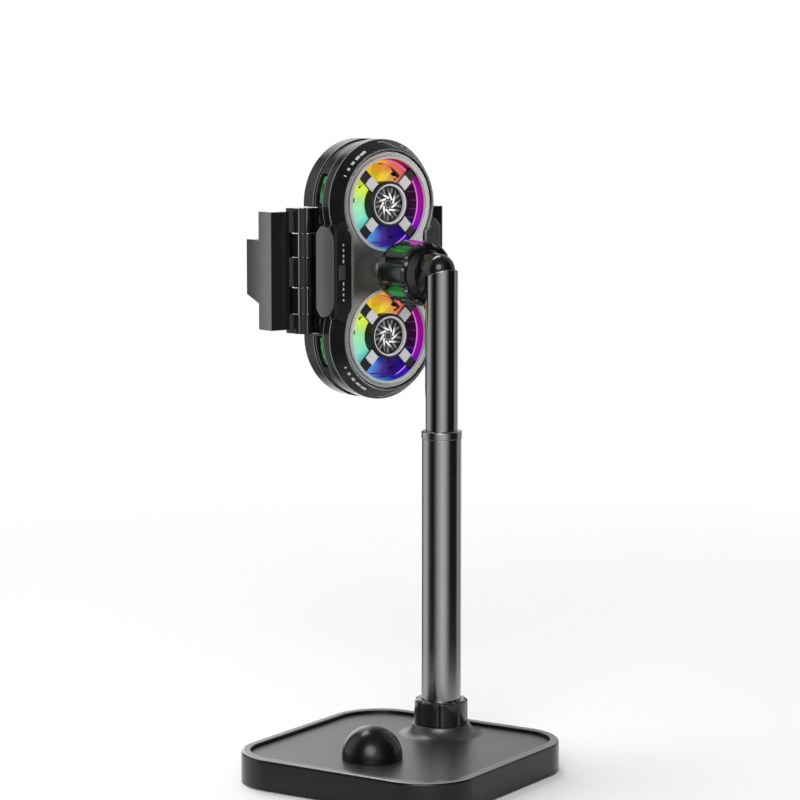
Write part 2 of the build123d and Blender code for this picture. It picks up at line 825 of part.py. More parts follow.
# Fan guards, hub caps, light rings and light boards
for level_name, level in levels.items():
    fan_z = head_height + level * fan_offset

    def fan_at(depth, height=fan_z):
        """Upright plane that faces the fans' side, with its origin on the fan's axis."""
        return Plane(origin=(0, depth, height), x_dir=(1, 0, 0), z_dir=(0, -1, 0))

    with BuildPart() as fan_guard:
        with BuildSketch(fan_at(guard_back)):
            Circle(opening_radius)
            Circle(guard_inner, mode=Mode.SUBTRACT)
        extrude(amount=guard_depth + guard_proud)
        chamfer(fan_guard.edges().group_by(Axis.Y)[0].sort_by(SortBy.LENGTH)[0], guard_bevel)
        with BuildSketch(fan_at(cooler_front + spoke_drop + spoke_thickness)):
            with PolarLocations((guard_inner + hub_inner) / 2, spoke_count, start_angle=45):
                Rectangle(guard_inner - hub_inner + guard_bevel, spoke_width)
        extrude(amount=spoke_thickness)
        with BuildSketch(fan_at(cooler_front + spoke_drop)):
            with PolarLocations((block_inner + block_outer) / 2, spoke_count, start_angle=45):
                Rectangle(block_outer - block_inner, spoke_width)
        extrude(amount=spoke_block_height)
        with BuildSketch(fan_at(cooler_front + hub_depth)):
            Circle(hub_outer)
        extrude(amount=hub_depth + guard_proud)
        chamfer(fan_guard.edges().group_by(Axis.Y)[0].sort_by(SortBy.LENGTH)[0], guard_proud)
        with BuildSketch(fan_at(cooler_front + hub_depth)):
            Circle(hub_inner)
        extrude(amount=hub_depth + guard_proud + overrun, mode=Mode.SUBTRACT)
        with BuildSketch(fan_at(cooler_front + hub_depth)):
            Circle(hub_outer)
            Circle(hub_inner - cooler_wall, mode=Mode.SUBTRACT)
        extrude(amount=hub_depth - cap_drop - cap_thickness)
    save(fan_guard, f"{level_name}_fan_guard")

    vane_path_plane = fan_at(cooler_front + cap_drop)
    with BuildPart() as hub_cap:
        with BuildSketch(fan_at(cooler_front + cap_drop + cap_thickness)):
            Circle(hub_inner - seat)
        extrude(amount=cap_thickness)
        with BuildSketch(vane_path_plane):
            Circle(cap_boss)
            with PolarLocations((vane_inner + vane_outer) / 2, vane_count):
                with Locations(Location((0, 0), vane_sweep)):
                    SlotOverall(vane_outer - vane_inner, vane_width)
        extrude(amount=vane_height)
    save(hub_cap, f"{level_name}_hub_cap")

    with BuildPart() as light_ring:
        with BuildSketch(spin_at(guard_back, fan_z)):
            with BuildLine():
                Polyline(
                    (0, ring_front),
                    (0, ring_outer),
                    (ring_length, ring_outer),
                    (ring_length, ring_back),
                    (0, ring_front),
                )
            make_face()
        revolve(axis=fan_axis(level))
    save(light_ring, f"{level_name}_light_ring")

    with BuildPart() as led_board:
        with BuildSketch(fan_at(shell_y)):
            Circle(board_outer)
            Circle(board_inner, mode=Mode.SUBTRACT)
        extrude(amount=board_thickness)
    save(led_board, f"{level_name}_led_board")

    # Blade: lofted from its root at the hub to its swept tip
    root = Plane(origin=(hub_radius - hub_wall / 2, 0, 0), x_dir=(0, 1, 0), z_dir=(1, 0, 0))
    tip = Plane(origin=(tip_radius, 0, 0), x_dir=(0, 1, 0), z_dir=(1, 0, 0))
    blade_frame = Plane(origin=(0, cooler_front + blade_top, fan_z), x_dir=(1, 0, 0), z_dir=(0, 1, 0))
    with BuildPart() as blade:
        for station, height, run, lean in (
            (root, blade_root_height, blade_root_run, 0),
            (tip, blade_tip_height, blade_tip_run, blade_lean),
        ):
            with BuildSketch(station):
                with BuildLine():
                    Polyline(
                        (lean - run / 2, 0),
                        (lean - run / 2 + blade_thickness, 0),
                        (lean + run / 2, height),
                        (lean + run / 2 - blade_thickness, height),
                        (lean - run / 2, 0),
                    )
                make_face()
        loft(ruled=True)
    placed_blade = blade_frame.location * blade.part

    with BuildPart() as impeller:
        with BuildSketch(fan_at(hub_front + hub_length)):
            Circle(hub_radius)
        extrude(amount=hub_length)
        with BuildSketch(fan_at(hub_front + hub_length)):
            Circle(hub_radius - hub_wall)
        extrude(amount=hub_length - hub_roof, mode=Mode.SUBTRACT)
        for turn in range(blade_count):
            add(placed_blade.rotate(fan_axis(level), turn * 360 / blade_count))
        with BuildSketch(fan_at(hub_front + hub_length)):
            Circle(tip_radius)
        extrude(amount=hub_length, mode=Mode.INTERSECT)
        with BuildSketch(fan_at(hub_front + hub_roof)):
            Circle(shaft_radius)
        extrude(amount=hub_roof, mode=Mode.SUBTRACT)
    save(impeller, f"{level_name}_impeller")

    with BuildPart() as rotor_shaft:
        with BuildSketch(fan_at(hub_front + hub_length)):
            Circle(shaft_radius)
        extrude(amount=hub_length)
    save(rotor_shaft, f"{level_name}_rotor_shaft")

    motor_front = hub_front + hub_roof + motor_gap
    foot_front = fin_y
    with BuildPart() as fan_motor:
        with BuildSketch(fan_at(foot_front + motor_foot)):
            Circle(motor_foot_radius)
        extrude(amount=motor_foot - slip)
        with BuildSketch(fan_at(foot_front + motor_foot)):
            Circle(motor_radius)
        extrude(amount=foot_front + motor_foot - motor_front)
        with BuildSketch(fan_at(foot_front + motor_foot)):
            Circle(shaft_radius + slip)
        extrude(amount=foot_front + motor_foot - motor_front, mode=Mode.SUBTRACT)
    save(fan_motor, f"{level_name}_fan_motor")

    with BuildPart() as heat_sink:
        with BuildSketch(fan_at(frame_y)):
            with GridLocations(0, fin_pitch, 1, fin_count):
                Rectangle(2 * sink_radius, fin_thickness)
            Circle(fin_radius, mode=Mode.INTERSECT)
        extrude(amount=fin_depth)
        with BuildSketch(fan_at(fin_y)):
            Circle(motor_foot_radius + seat)
        extrude(amount=-motor_foot, mode=Mode.SUBTRACT)
        with BuildSketch(fan_at(sink_base_y)):
            Circle(sink_radius)
        extrude(amount=sink_base)
    save(heat_sink, f"{level_name}_heat_sink")

    with BuildPart() as peltier:
        with BuildSketch(fan_at(peltier_y)):
            Rectangle(peltier_side, peltier_side)
        extrude(amount=peltier_thickness)
    save(peltier, f"{level_name}_peltier")

# Mid frame: shelf behind the fans, vented wall, back plate and the middle column
frame_radius = cooler_radius - frame_inset
frame_waist = waist_half - cooler_wall
post_spread = post_reach * sin(radians(45))
post_places = [(x * post_spread, z * (fan_offset + post_spread)) for x in (-1, 1) for z in (-1, 1)]
with BuildPart() as mid_frame:
    with BuildSketch(front_at(frame_y)):
        twin_outline(frame_radius, frame_waist)
    extrude(amount=frame_depth - shell_depth)
    with BuildSketch(front_at(frame_plate_y)):
        twin_outline(frame_radius - cooler_wall, frame_waist - cooler_wall)
    extrude(amount=frame_plate_y - shelf_y, mode=Mode.SUBTRACT)
    with BuildSketch(front_at(frame_y)):
        with Locations((0, fan_offset), (0, -fan_offset)):
            Circle(sink_hole_radius)
    extrude(amount=frame_plate, mode=Mode.SUBTRACT)
    with BuildSketch(front_at(shelf_y)):
        with Locations((0, fan_offset), (0, -fan_offset)):
            Circle(inlet_radius)
    extrude(amount=shelf_thickness, mode=Mode.SUBTRACT)
    for level_name, level in levels.items():
        with BuildSketch(front_at(frame_plate_y)):
            with Locations((0, level * fan_offset)):
                vent_span = level * (180 - 2 * vent_rise)
                with PolarLocations(frame_radius, 2, level * vent_rise, vent_span, endpoint=True):
                    Rectangle(4 * cooler_wall, 2 * frame_radius * sin(radians(vent_angle / 2)))
        extrude(amount=frame_plate_y - shelf_y, mode=Mode.SUBTRACT)
    for side in sides.values():
        with BuildSketch(front_at(frame_y)):
            with Locations((side * (pocket_half_span + frame_radius / 2), 0)):
                Rectangle(frame_radius, 2 * pocket_half_tall)
        extrude(amount=frame_y - pocket_y, mode=Mode.SUBTRACT)
        with BuildSketch(front_at(frame_y)):
            with Locations((side * (pocket_half_span - pocket_wall / 2), 0)):
                Rectangle(pocket_wall, 2 * pocket_half_tall)
        extrude(amount=frame_y - shelf_y)
        with BuildSketch(front_at(pocket_y)):
            with Locations((side * (pocket_half_span + frame_waist) / 2, 0)):
                Rectangle(frame_waist - pocket_half_span, 2 * pocket_half_tall)
        extrude(amount=frame_plate)
    with BuildSketch(front_at(frame_y)):
        Circle(column_radius)
    extrude(amount=frame_y - plate_back)
    with BuildSketch(front_at(frame_plate_y)):
        with Locations(*post_places):
            Circle(case_post_radius)
    extrude(amount=frame_plate_y - shelf_y)
    with BuildSketch(front_at(frame_y)):
        with Locations(*post_places):
            Circle(case_screw_radius)
    extrude(amount=frame_y - shelf_y, mode=Mode.SUBTRACT)
    with BuildSketch(front_at(plate_back)):
        Circle(stem_radius + seat)
    extrude(amount=-(spigot_length + plate_front + pocket_depth - plate_back + slip), mode=Mode.SUBTRACT)
    with BuildSketch(front_at(frame_y)):
        Circle(axle_radius + seat)
    extrude(amount=axle_grip, mode=Mode.SUBTRACT)
    with BuildSketch(front_at(shell_y)):
        with Locations((board_peg_x, board_peg_spread), (board_peg_x, -board_peg_spread)):
            Circle(board_peg_radius)
    extrude(amount=board_thickness - main_board_thickness + part_line)
    with BuildSketch(front_at(shelf_y + inlet_height + 2 * slip)):
        with Locations((0, -fan_offset - frame_radius)):
            Rectangle(inlet_width + 2 * slip, 4 * cooler_wall)
    extrude(amount=inlet_height + 2 * slip, mode=Mode.SUBTRACT)
save(mid_frame, "mid_frame")

# Main board and the switch under the mode button
board_back = shell_y - part_line
main_board_width = main_board_right - main_board_left
with BuildPart() as main_board:
    with BuildSketch(front_at(board_back)):
        with Locations((main_board_left + main_board_width / 2, 0)):
            Rectangle(main_board_width, 2 * main_board_half_height)
    extrude(amount=main_board_thickness)
    with BuildSketch(front_at(board_back - main_board_thickness)):
        with Locations((button_x + switch_side / 4, 0)):
            Rectangle(switch_side / 2, switch_side)
    extrude(amount=switch_height)
save(main_board, "main_board")

# Mode button with the flange that keeps it in the bezel
button_front = cooler_front - button_proud
button_back = slope_y + frame_inset + slip
with BuildPart() as mode_button:
    with BuildSketch(front_at(button_back)):
        with Locations((button_x, 0)):
            Rectangle(button_width, button_height)
    extrude(amount=button_back - button_front)
    chamfer(mode_button.edges().group_by(Axis.Y)[0], button_proud)
    with BuildSketch(front_at(button_back + button_flange)):
        flange_right = button_x + button_width / 2 + button_flange_reach
        with Locations(((main_board_left + flange_right) / 2, 0)):
            Rectangle(flange_right - main_board_left, button_height + 2 * button_flange_reach)
    extrude(amount=button_flange)
save(mode_button, "mode_button")

# Power inlet in the bottom of the frame
inlet_top = head_height - fan_offset - frame_radius + inlet_wall
with BuildPart() as usb_inlet:
    inlet_plane = Plane(
        origin=(0, shelf_y + slip + inlet_height / 2, inlet_top),
        x_dir=(1, 0, 0),
        z_dir=(0, 0, 1),
    )
    with BuildSketch(inlet_plane):
        RectangleRounded(inlet_width, inlet_height, inlet_height / 2 - slip)
    extrude(amount=inlet_length)
    with BuildSketch(inlet_plane):
        RectangleRounded(
            inlet_width - 2 * inlet_wall,
            inlet_height - 2 * inlet_wall,
            inlet_height / 2 - inlet_wall - slip,
        )
        Rectangle(inlet_width - 4 * inlet_wall - inlet_tongue, inlet_tongue, mode=Mode.SUBTRACT)
    extrude(amount=inlet_length - 2 * inlet_wall, mode=Mode.SUBTRACT)
save(usb_inlet, "usb_inlet")

# Rear case with its jaw pockets, rack slots and the pad's window
rack_half_span = tooth_module * pinion_teeth / 2 + 2 * tooth_module + rack_back
with BuildPart() as rear_case:
    with BuildSketch(front_at(case_y)):
        twin_outline(cooler_radius, waist_half)
    extrude(amount=case_depth - frame_depth)
    fillet(rear_case.edges().group_by(Axis.Y)[-1], case_round)
    with BuildSketch(front_at(floor_y)):
        twin_outline(cooler_radius - cooler_wall, waist_half - cooler_wall)
        for side in sides.values():
            with Locations((side * (pocket_half_span - pocket_wall + cooler_radius / 2), 0)):
                Rectangle(cooler_radius, 2 * (pocket_half_tall + pocket_wall), mode=Mode.SUBTRACT)
    extrude(amount=floor_y - frame_y, mode=Mode.SUBTRACT)
    for side in sides.values():
        with BuildSketch(front_at(case_y + overrun)):
            with Locations((side * (pocket_half_span + cooler_radius / 2), 0)):
                Rectangle(cooler_radius, 2 * pocket_half_tall)
        extrude(amount=case_depth - frame_depth + 2 * overrun, mode=Mode.SUBTRACT)
        with BuildSketch(front_at(rack_y + rack_thickness + part_line)):
            with Locations((side * pocket_half_span, 0)):
                Rectangle(4 * pocket_wall, 2 * (rack_half_span + part_line))
        extrude(amount=rack_thickness + 2 * part_line, mode=Mode.SUBTRACT)
    with BuildSketch(front_at(floor_y)):
        with Locations(*post_places):
            Circle(case_post_radius)
    extrude(amount=floor_y - frame_y)
    with BuildSketch(front_at(case_y)):
        RectangleRounded(pad_width + 2 * seat, pad_height + 2 * seat, pad_width / 2)
    extrude(amount=case_y - floor_y, mode=Mode.SUBTRACT)
    with BuildSketch(front_at(case_y)):
        with Locations(*post_places):
            Circle(case_screw_head + seat)
    extrude(amount=case_screw_head_height, mode=Mode.SUBTRACT)
    with BuildSketch(front_at(case_y)):
        with Locations(*post_places):
            Circle(case_screw_radius + seat)
    extrude(amount=case_y - frame_y, mode=Mode.SUBTRACT)
save(rear_case, "rear_case")

with BuildPart() as case_screws:
    with BuildSketch(front_at(case_y)):
        with Locations(*post_places):
            Circle(case_screw_head)
    extrude(amount=case_screw_head_height)
    with BuildSketch(front_at(case_y)):
        with Locations(*post_places):
            Circle(case_screw_radius - seat)
    extrude(amount=case_screw_length)
save(case_screws, "case_screws")

# Cold plate and the soft pad that touches the phone
with BuildPart() as cold_plate:
    with BuildSketch(front_at(floor_y)):
        RectangleRounded(
            pad_width + 2 * cold_plate_margin,
            pad_height + 2 * cold_plate_margin,
            pad_width / 2 + cold_plate_margin - slip,
        )
    extrude(amount=floor_y - peltier_y)
save(cold_plate, "cold_plate")

with BuildPart() as cooling_pad:
    with BuildSketch(front_at(pad_y)):
        RectangleRounded(pad_width, pad_height, pad_width / 2 - slip)
    extrude(amount=pad_y - floor_y)
save(cooling_pad, "cooling_pad")

# Pinion and its axle
pitch_radius = tooth_module * pinion_teeth / 2
tooth_pitch = pi * tooth_module
addendum = tooth_module - tooth_slack
dedendum = tooth_module + tooth_slack
tooth_half = tooth_pitch / 4 - tooth_slack
flank_run = tooth_module * tan(radians(20))
with BuildPart() as jaw_pinion:
    with BuildSketch(front_at(rack_y + rack_thickness)):
        Circle(pitch_radius - dedendum)
        with PolarLocations(0, pinion_teeth):
            Polygon(
                (pitch_radius - dedendum - addendum, tooth_half + flank_run / 2),
                (pitch_radius, tooth_half),
                (pitch_radius + addendum, tooth_half - flank_run),
                (pitch_radius + addendum, -tooth_half + flank_run),
                (pitch_radius, -tooth_half),
                (pitch_radius - dedendum - addendum, -tooth_half - flank_run / 2),
                align=None,
            )
        Circle(axle_radius + slip, mode=Mode.SUBTRACT)
    extrude(amount=rack_thickness)
save(jaw_pinion, "jaw_pinion")

with BuildPart() as pinion_axle:
    with BuildSketch(front_at(frame_y - axle_grip)):
        Circle(axle_radius)
    extrude(amount=-(axle_grip + rack_y + rack_thickness - frame_y))
save(pinion_axle, "pinion_axle")

# Knuckle bounds along the hinge, from its top down
knuckle_tops = [hinge_height * (0.5 - sum(knuckle_shares[:count])) for count in range(len(knuckle_shares) + 1)]
carriage_knuckles = range(1, len(knuckle_shares), 2)
jaw_knuckles = range(0, len(knuckle_shares), 2)
crossbar_x = hinge_x - carriage_knuckle_radius - crossbar_gap
crossbar_inner = crossbar_x - crossbar_thickness

for side_name, side in sides.items():

    def top_at(height):
        """Horizontal plane at a height above the head's middle, x away from the middle."""
        return Plane(
            origin=(0, 0, head_height + height),
            x_dir=(side, 0, 0),
            z_dir=(0, 0, side),
        )

    # On these planes x points outwards and y is depth towards the phone
    with BuildPart() as jaw_carriage:
        with BuildSketch(top_at(-side * crossbar_half_height)):
            with Locations(((crossbar_x + crossbar_inner) / 2, hinge_y - crossbar_drop)):
                Rectangle(crossbar_thickness, crossbar_depth)
        extrude(amount=2 * crossbar_half_height)
        for index in carriage_knuckles:
            top = knuckle_tops[index] - knuckle_gap
            bottom = knuckle_tops[index + 1] + knuckle_gap
            with BuildSketch(top_at(bottom if side > 0 else top)):
                with Locations((hinge_x, hinge_y)):
                    Circle(carriage_knuckle_radius)
                with Locations(((hinge_x + crossbar_inner) / 2, hinge_y)):
                    Rectangle(hinge_x - crossbar_inner, crossbar_depth - 2 * crossbar_gap)
                with Locations((hinge_x, hinge_y)):
                    Circle(pin_radius + slip, mode=Mode.SUBTRACT)
            extrude(amount=top - bottom)
        rack_low = -side * pitch_radius
        with BuildSketch(front_at(rack_y + rack_thickness)):
            rack_length = crossbar_inner + rack_reach
            rack_middle = side * (crossbar_inner - rack_length / 2)
            with Locations((rack_middle, rack_low - side * (dedendum + rack_back / 2))):
                Rectangle(rack_length + 2 * slip, rack_back)
            tooth_total = int(2 * rack_reach / tooth_pitch)
            for count in range(tooth_total):
                offset = (count - (tooth_total - 1) / 2) * tooth_pitch
                Polygon(
                    (offset - tooth_half - flank_run, rack_low - side * (dedendum + slip)),
                    (offset - tooth_half + flank_run, rack_low + side * addendum),
                    (offset + tooth_half - flank_run, rack_low + side * addendum),
                    (offset + tooth_half + flank_run, rack_low - side * (dedendum + slip)),
                    align=None,
                )
        extrude(amount=rack_thickness)
    save(jaw_carriage, f"{side_name}_jaw_carriage")

    # Jaw: plate, side wall, tab with its hook, and the outer knuckles
    with BuildPart() as jaw:
        with BuildSketch(top_at(-side * jaw_half_height)):
            with BuildLine():
                Polyline(
                    (hinge_x + carriage_knuckle_radius + knuckle_gap, jaw_front),
                    (jaw_reach, jaw_front),
                    (jaw_reach, jaw_side_end),
                    (jaw_reach - jaw_side_wall, jaw_side_end),
                    (jaw_reach - jaw_side_wall, jaw_front + jaw_plate),
                    (hinge_x + lip_reach, jaw_front + jaw_plate),
                    (hinge_x + lip_reach, jaw_front + jaw_plate - lip_thickness),
                    (hinge_x + carriage_knuckle_radius + knuckle_gap, jaw_front + jaw_plate - lip_thickness),
                    (hinge_x + carriage_knuckle_radius + knuckle_gap, jaw_front),
                )
            make_face()
        extrude(amount=2 * jaw_half_height)
        tab_plane = Plane(origin=(side * jaw_reach, 0, head_height), x_dir=(0, 1, 0), z_dir=(1, 0, 0))
        with BuildSketch(tab_plane):
            with BuildLine():
                Polyline(
                    (jaw_side_end - jaw_side_wall, tab_top),
                    (tab_end, tab_top),
                    (tab_end, tab_bottom),
                    (jaw_side_end, tab_bottom - tab_chamfer),
                    (jaw_side_end - jaw_side_wall, tab_bottom - tab_chamfer),
                    (jaw_side_end - jaw_side_wall, tab_top),
                )
            make_face()
        extrude(amount=-side * jaw_side_wall)
        with BuildSketch(tab_plane):
            with Locations((tab_end - hook_thickness / 2, (tab_top + tab_bottom) / 2)):
                Rectangle(hook_thickness, tab_top - tab_bottom)
        extrude(amount=-side * (jaw_reach - hook_inner))
        for index in jaw_knuckles:
            top = knuckle_tops[index] - knuckle_gap
            bottom = knuckle_tops[index + 1] + knuckle_gap
            with BuildSketch(top_at(bottom if side > 0 else top)):
                with Locations((hinge_x, hinge_y)):
                    Circle(jaw_knuckle_radius)
                with BuildLine():
                    Polyline(
                        (hinge_x, hinge_y),
                        (hinge_x + carriage_knuckle_radius + 2 * knuckle_gap, jaw_front),
                        (hinge_x + carriage_knuckle_radius + 2 * knuckle_gap, jaw_front + jaw_plate),
                        (hinge_x, hinge_y + jaw_knuckle_radius),
                        (hinge_x, hinge_y),
                    )
                make_face()
                with Locations((hinge_x, hinge_y)):
                    Circle(pin_radius + slip, mode=Mode.SUBTRACT)
            extrude(amount=top - bottom)
    save(jaw, f"{side_name}_jaw")

    with BuildPart() as hinge_pin:
        with BuildSketch(top_at(-side * hinge_height / 2)):
            with Locations((hinge_x, hinge_y)):
                Circle(pin_radius)
        extrude(amount=hinge_height)
    save(hinge_pin, f"{side_name}_hinge_pin")

    with BuildPart() as jaw_pad:
        with BuildSketch(tab_plane.offset(-side * jaw_side_wall)):
            pad_front = jaw_front + jaw_plate + jaw_pad_margin
            with Locations(((pad_front + jaw_side_end) / 2, 0)):
                Rectangle(jaw_side_end - pad_front, 2 * (jaw_half_height - jaw_pad_margin))
        extrude(amount=-side * pad_thickness)
    save(jaw_pad, f"{side_name}_jaw_pad")
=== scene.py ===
# %% [markdown]
# # A phone cooling fan on a desk stand
#
# The real object is a phone cooler with two lit fans, one above the other. A
# ball joint holds it on a telescopic mast, and the mast stands on a square
# weighted base. The solid model is loaded first and never moved. Each step after
# that says what a piece or a finish is on the real thing, how it could be made,
# and why it is made this way here.

# %% Load the frame
import json
from math import atan2, cos, hypot, pi, radians, sin

import bmesh
import bpy
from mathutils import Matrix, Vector

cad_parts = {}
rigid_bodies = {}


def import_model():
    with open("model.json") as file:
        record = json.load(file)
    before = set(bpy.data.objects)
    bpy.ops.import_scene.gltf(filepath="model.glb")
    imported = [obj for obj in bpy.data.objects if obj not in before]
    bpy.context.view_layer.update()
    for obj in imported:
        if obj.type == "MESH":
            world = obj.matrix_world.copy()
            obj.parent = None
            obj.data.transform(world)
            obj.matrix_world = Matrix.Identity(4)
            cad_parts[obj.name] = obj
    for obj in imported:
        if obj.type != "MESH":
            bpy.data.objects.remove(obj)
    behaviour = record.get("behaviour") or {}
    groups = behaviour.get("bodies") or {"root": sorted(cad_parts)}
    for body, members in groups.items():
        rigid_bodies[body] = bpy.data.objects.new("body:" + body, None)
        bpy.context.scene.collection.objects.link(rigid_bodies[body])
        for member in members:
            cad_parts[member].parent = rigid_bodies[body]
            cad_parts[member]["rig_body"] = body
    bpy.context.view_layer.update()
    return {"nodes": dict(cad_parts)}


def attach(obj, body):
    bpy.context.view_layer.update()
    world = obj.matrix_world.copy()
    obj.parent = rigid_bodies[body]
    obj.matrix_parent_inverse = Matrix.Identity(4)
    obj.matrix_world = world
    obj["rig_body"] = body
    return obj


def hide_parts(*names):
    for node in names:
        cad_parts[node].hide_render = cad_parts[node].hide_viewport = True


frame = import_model()
MM = 0.001
scene = bpy.context.scene

# %% [markdown]
# ## Camera
#
# The picture was taken with a long lens from in front and to the left, a little
# above the ball joint. A long lens keeps the uprights parallel, so the lens
# length matters as much as the place. Both were worked out once from known
# corners of the object, and are simply set here.

# %% Camera
TURN, TIP = radians(-37.01), radians(6.79)
AIM = Vector((-13.10, 9.88, 145.60)) * MM
CAMERA_DISTANCE = 1127.1 * MM
PICTURE_WIDTH, FOCAL_PIXELS = 800, 2844
SENSOR_WIDTH = 36.0         # millimetres, Blender's usual sensor
FAR_CLIP = 20.0
towards_camera = Vector((sin(TURN) * cos(TIP), -cos(TURN) * cos(TIP), sin(TIP)))

camera = bpy.data.objects.new("camera", bpy.data.cameras.new("camera"))
scene.collection.objects.link(camera)
camera.location = AIM + towards_camera * CAMERA_DISTANCE
camera.rotation_euler = towards_camera.to_track_quat("Z", "Y").to_euler()
camera.data.sensor_width = SENSOR_WIDTH
camera.data.lens = SENSOR_WIDTH * FOCAL_PIXELS / PICTURE_WIDTH
camera.data.clip_end = FAR_CLIP
scene.camera = camera
print("lens", round(camera.data.lens, 1), "mm, camera at", [round(c, 3) for c in camera.location])

# %% [markdown]
# ## Shader maths as Python
#
# A material is a graph of nodes. Wiring each Math node by hand hides the idea
# behind twenty lines, so one small class wraps a socket. Python's own operators
# on it add the Math nodes, and its `node` method adds any other kind.

# %% A socket that understands arithmetic
class Wire:
    """An output socket of a shader tree, with Python's operators on it."""

    def __init__(self, tree, socket):
        self.tree = tree
        self.socket = socket

    def node(self, kind, settings=None, inputs=None, output=0):
        """Add a node: its settings first, then its sockets, then one of its outputs."""
        added = self.tree.nodes.new(kind)
        for name, value in (settings or {}).items():
            if name == "stops":
                fill_ramp(added.color_ramp, value)
            else:
                setattr(added, name, value)
        for key, value in (inputs or {}).items():
            if isinstance(value, Wire):
                self.tree.links.new(value.socket, added.inputs[key])
            else:
                added.inputs[key].default_value = value
        return Wire(self.tree, added.outputs[output])

    def maths(self, operation, *values):
        return self.node("ShaderNodeMath", {"operation": operation}, dict(enumerate(values)))

    def into(self, shader, name):
        """Link this value to a shader's socket."""
        self.tree.links.new(self.socket, shader.inputs[name])
        return self

    def __add__(self, other):
        return self.maths("ADD", self, other)

    def __radd__(self, other):
        return self.maths("ADD", other, self)

    def __sub__(self, other):
        return self.maths("SUBTRACT", self, other)

    def __rsub__(self, other):
        return self.maths("SUBTRACT", other, self)

    def __mul__(self, other):
        return self.maths("MULTIPLY", self, other)

    def __rmul__(self, other):
        return self.maths("MULTIPLY", other, self)

    def __truediv__(self, other):
        return self.maths("DIVIDE", self, other)

    def __gt__(self, other):
        return self.maths("GREATER_THAN", self, other)

    def __lt__(self, other):
        return self.maths("LESS_THAN", self, other)

    def __pow__(self, other):
        return self.maths("POWER", self, other)


def fill_ramp(ramp, stops):
    """Give a colour ramp its stops, each a place and a colour."""
    while len(ramp.elements) > 1:
        ramp.elements.remove(ramp.elements[-1])
    ramp.elements[0].position, ramp.elements[0].color = stops[0][0], (*stops[0][1], 1)
    for place, colour in stops[1:]:
        ramp.elements.new(place).color = (*colour, 1)


print("operators ready:", [name for name in vars(Wire) if name.startswith("__r")])

# %% Start a material
def start_finish(name, **fixed):
    """A new material with its shader, and a wire that carries the place in metres."""
    material = bpy.data.materials.new(name)
    material.use_nodes = True
    shader = material.node_tree.nodes["Principled BSDF"]
    for socket, value in fixed.items():
        socket = socket.replace("_", " ")
        shader.inputs[socket].default_value = (*value, 1) if isinstance(value, tuple) else value
    coordinates = material.node_tree.nodes.new("ShaderNodeTexCoord")
    return material, shader, Wire(material.node_tree, coordinates.outputs["Object"])


def axes(place):
    """The three coordinates of a place, each as a wire of its own."""
    split = place.node("ShaderNodeSeparateXYZ", {}, {0: place}).socket.node
    return [Wire(place.tree, split.outputs[axis]) for axis in "XYZ"]


def ramp(share, stops):
    """Colours along a share from 0 to 1."""
    return share.node("ShaderNodeValToRGB", {"stops": stops}, {0: share})


def noise(place, size, detail=2.0, stretch=(1, 1, 1)):
    """Noise whose features are about `size` millimetres, stretched along an axis."""
    scaled = place.node("ShaderNodeMapping", {}, {"Vector": place, "Scale": stretch})
    return place.node("ShaderNodeTexNoise", {},
                      {"Vector": scaled, "Scale": 1 / (size * MM), "Detail": detail})


def mix_colours(mask, low, high):
    """The low colour where the mask is 0, and the high one where it is 1."""
    def sides(colour):
        return colour if isinstance(colour, Wire) else (*colour, 1)
    return mask.node("ShaderNodeMix", {"data_type": "RGBA"},
                     {0: mask, 6: sides(low), 7: sides(high)}, output=2)


def between(value, low, high):
    """0 below low, 1 above high, and a smooth step from one to the other."""
    return value.node("ShaderNodeMapRange", {"interpolation_type": "SMOOTHSTEP"},
                      {"Value": value, "From Min": low, "From Max": high})


def bump(height, depth, shader, strength=1.0):
    """Raise the surface by up to `depth` millimetres."""
    return height.node("ShaderNodeBump", {}, {"Height": height, "Strength": strength,
                                              "Distance": depth * MM}).into(shader, "Normal")


# %% [markdown]
# ## Light and floor
#
# Black gloss shows nothing but the room around it, so the room is the finish.
# The bright and dark lines on the mast tell where a studio's white panels stood:
# one wide panel behind the camera, white walls beside and behind the object, and
# black cloth between them. The world holds this room as bands of direction
# round the upright axis. The lamps add a soft key, a light from above and small
# lights for the head and the hinges alone. Close to the object the floor is pale
# and takes the shadow. Further off it is plain white, and other rays pass through
# it to the room.

# %% World with panels and dark gaps
world = bpy.data.worlds.new("studio")
scene.world = world
world.use_nodes = True
sky = world.node_tree.nodes["Background"]
rays = Wire(world.node_tree, world.node_tree.nodes.new("ShaderNodeLightPath").outputs["Is Camera Ray"])
heading = Wire(world.node_tree, world.node_tree.nodes.new("ShaderNodeTexCoord").outputs["Generated"])
east, north, height = axes(heading)
front = east * sin(TURN) + north * -cos(TURN)
right = east * cos(TURN) + north * sin(TURN)
turn = right.maths("ARCTAN2", right, front) / (2 * pi) + 0.5

PANELS = [
    (0.000, 0.90), (0.020, 2.00), (0.075, 2.00), (0.100, 0.10), (0.125, 0.05), (0.165, 0.95),
    (0.235, 1.05), (0.300, 0.12), (0.340, 0.00), (0.385, 0.03), (0.450, 0.70), (0.510, 1.25),
    (0.560, 1.00), (0.610, 0.32), (0.640, 0.02), (0.770, 0.02), (0.805, 0.75), (0.840, 0.45),
    (0.866, 0.20), (0.890, 0.80), (0.930, 0.80), (0.950, 0.30), (1.000, 0.90),
]
OVERHEAD, UNDERFOOT, PLAIN_WHITE = (0.22, 0.22, 0.22), (0.35, 0.35, 0.35), (1, 1, 1)
panel = ramp(turn, [(at, (tone, tone, tone)) for at, tone in PANELS])
room = mix_colours(between(height, 0.62, 0.92), panel, OVERHEAD)
room = mix_colours(between(0 - height, 0.35, 0.75), room, UNDERFOOT)
mix_colours(rays, room, PLAIN_WHITE).into(sky, "Color")
scene.view_settings.view_transform = "Standard"
print("panels at turns:", [at for at, tone in PANELS if tone > 0.5])


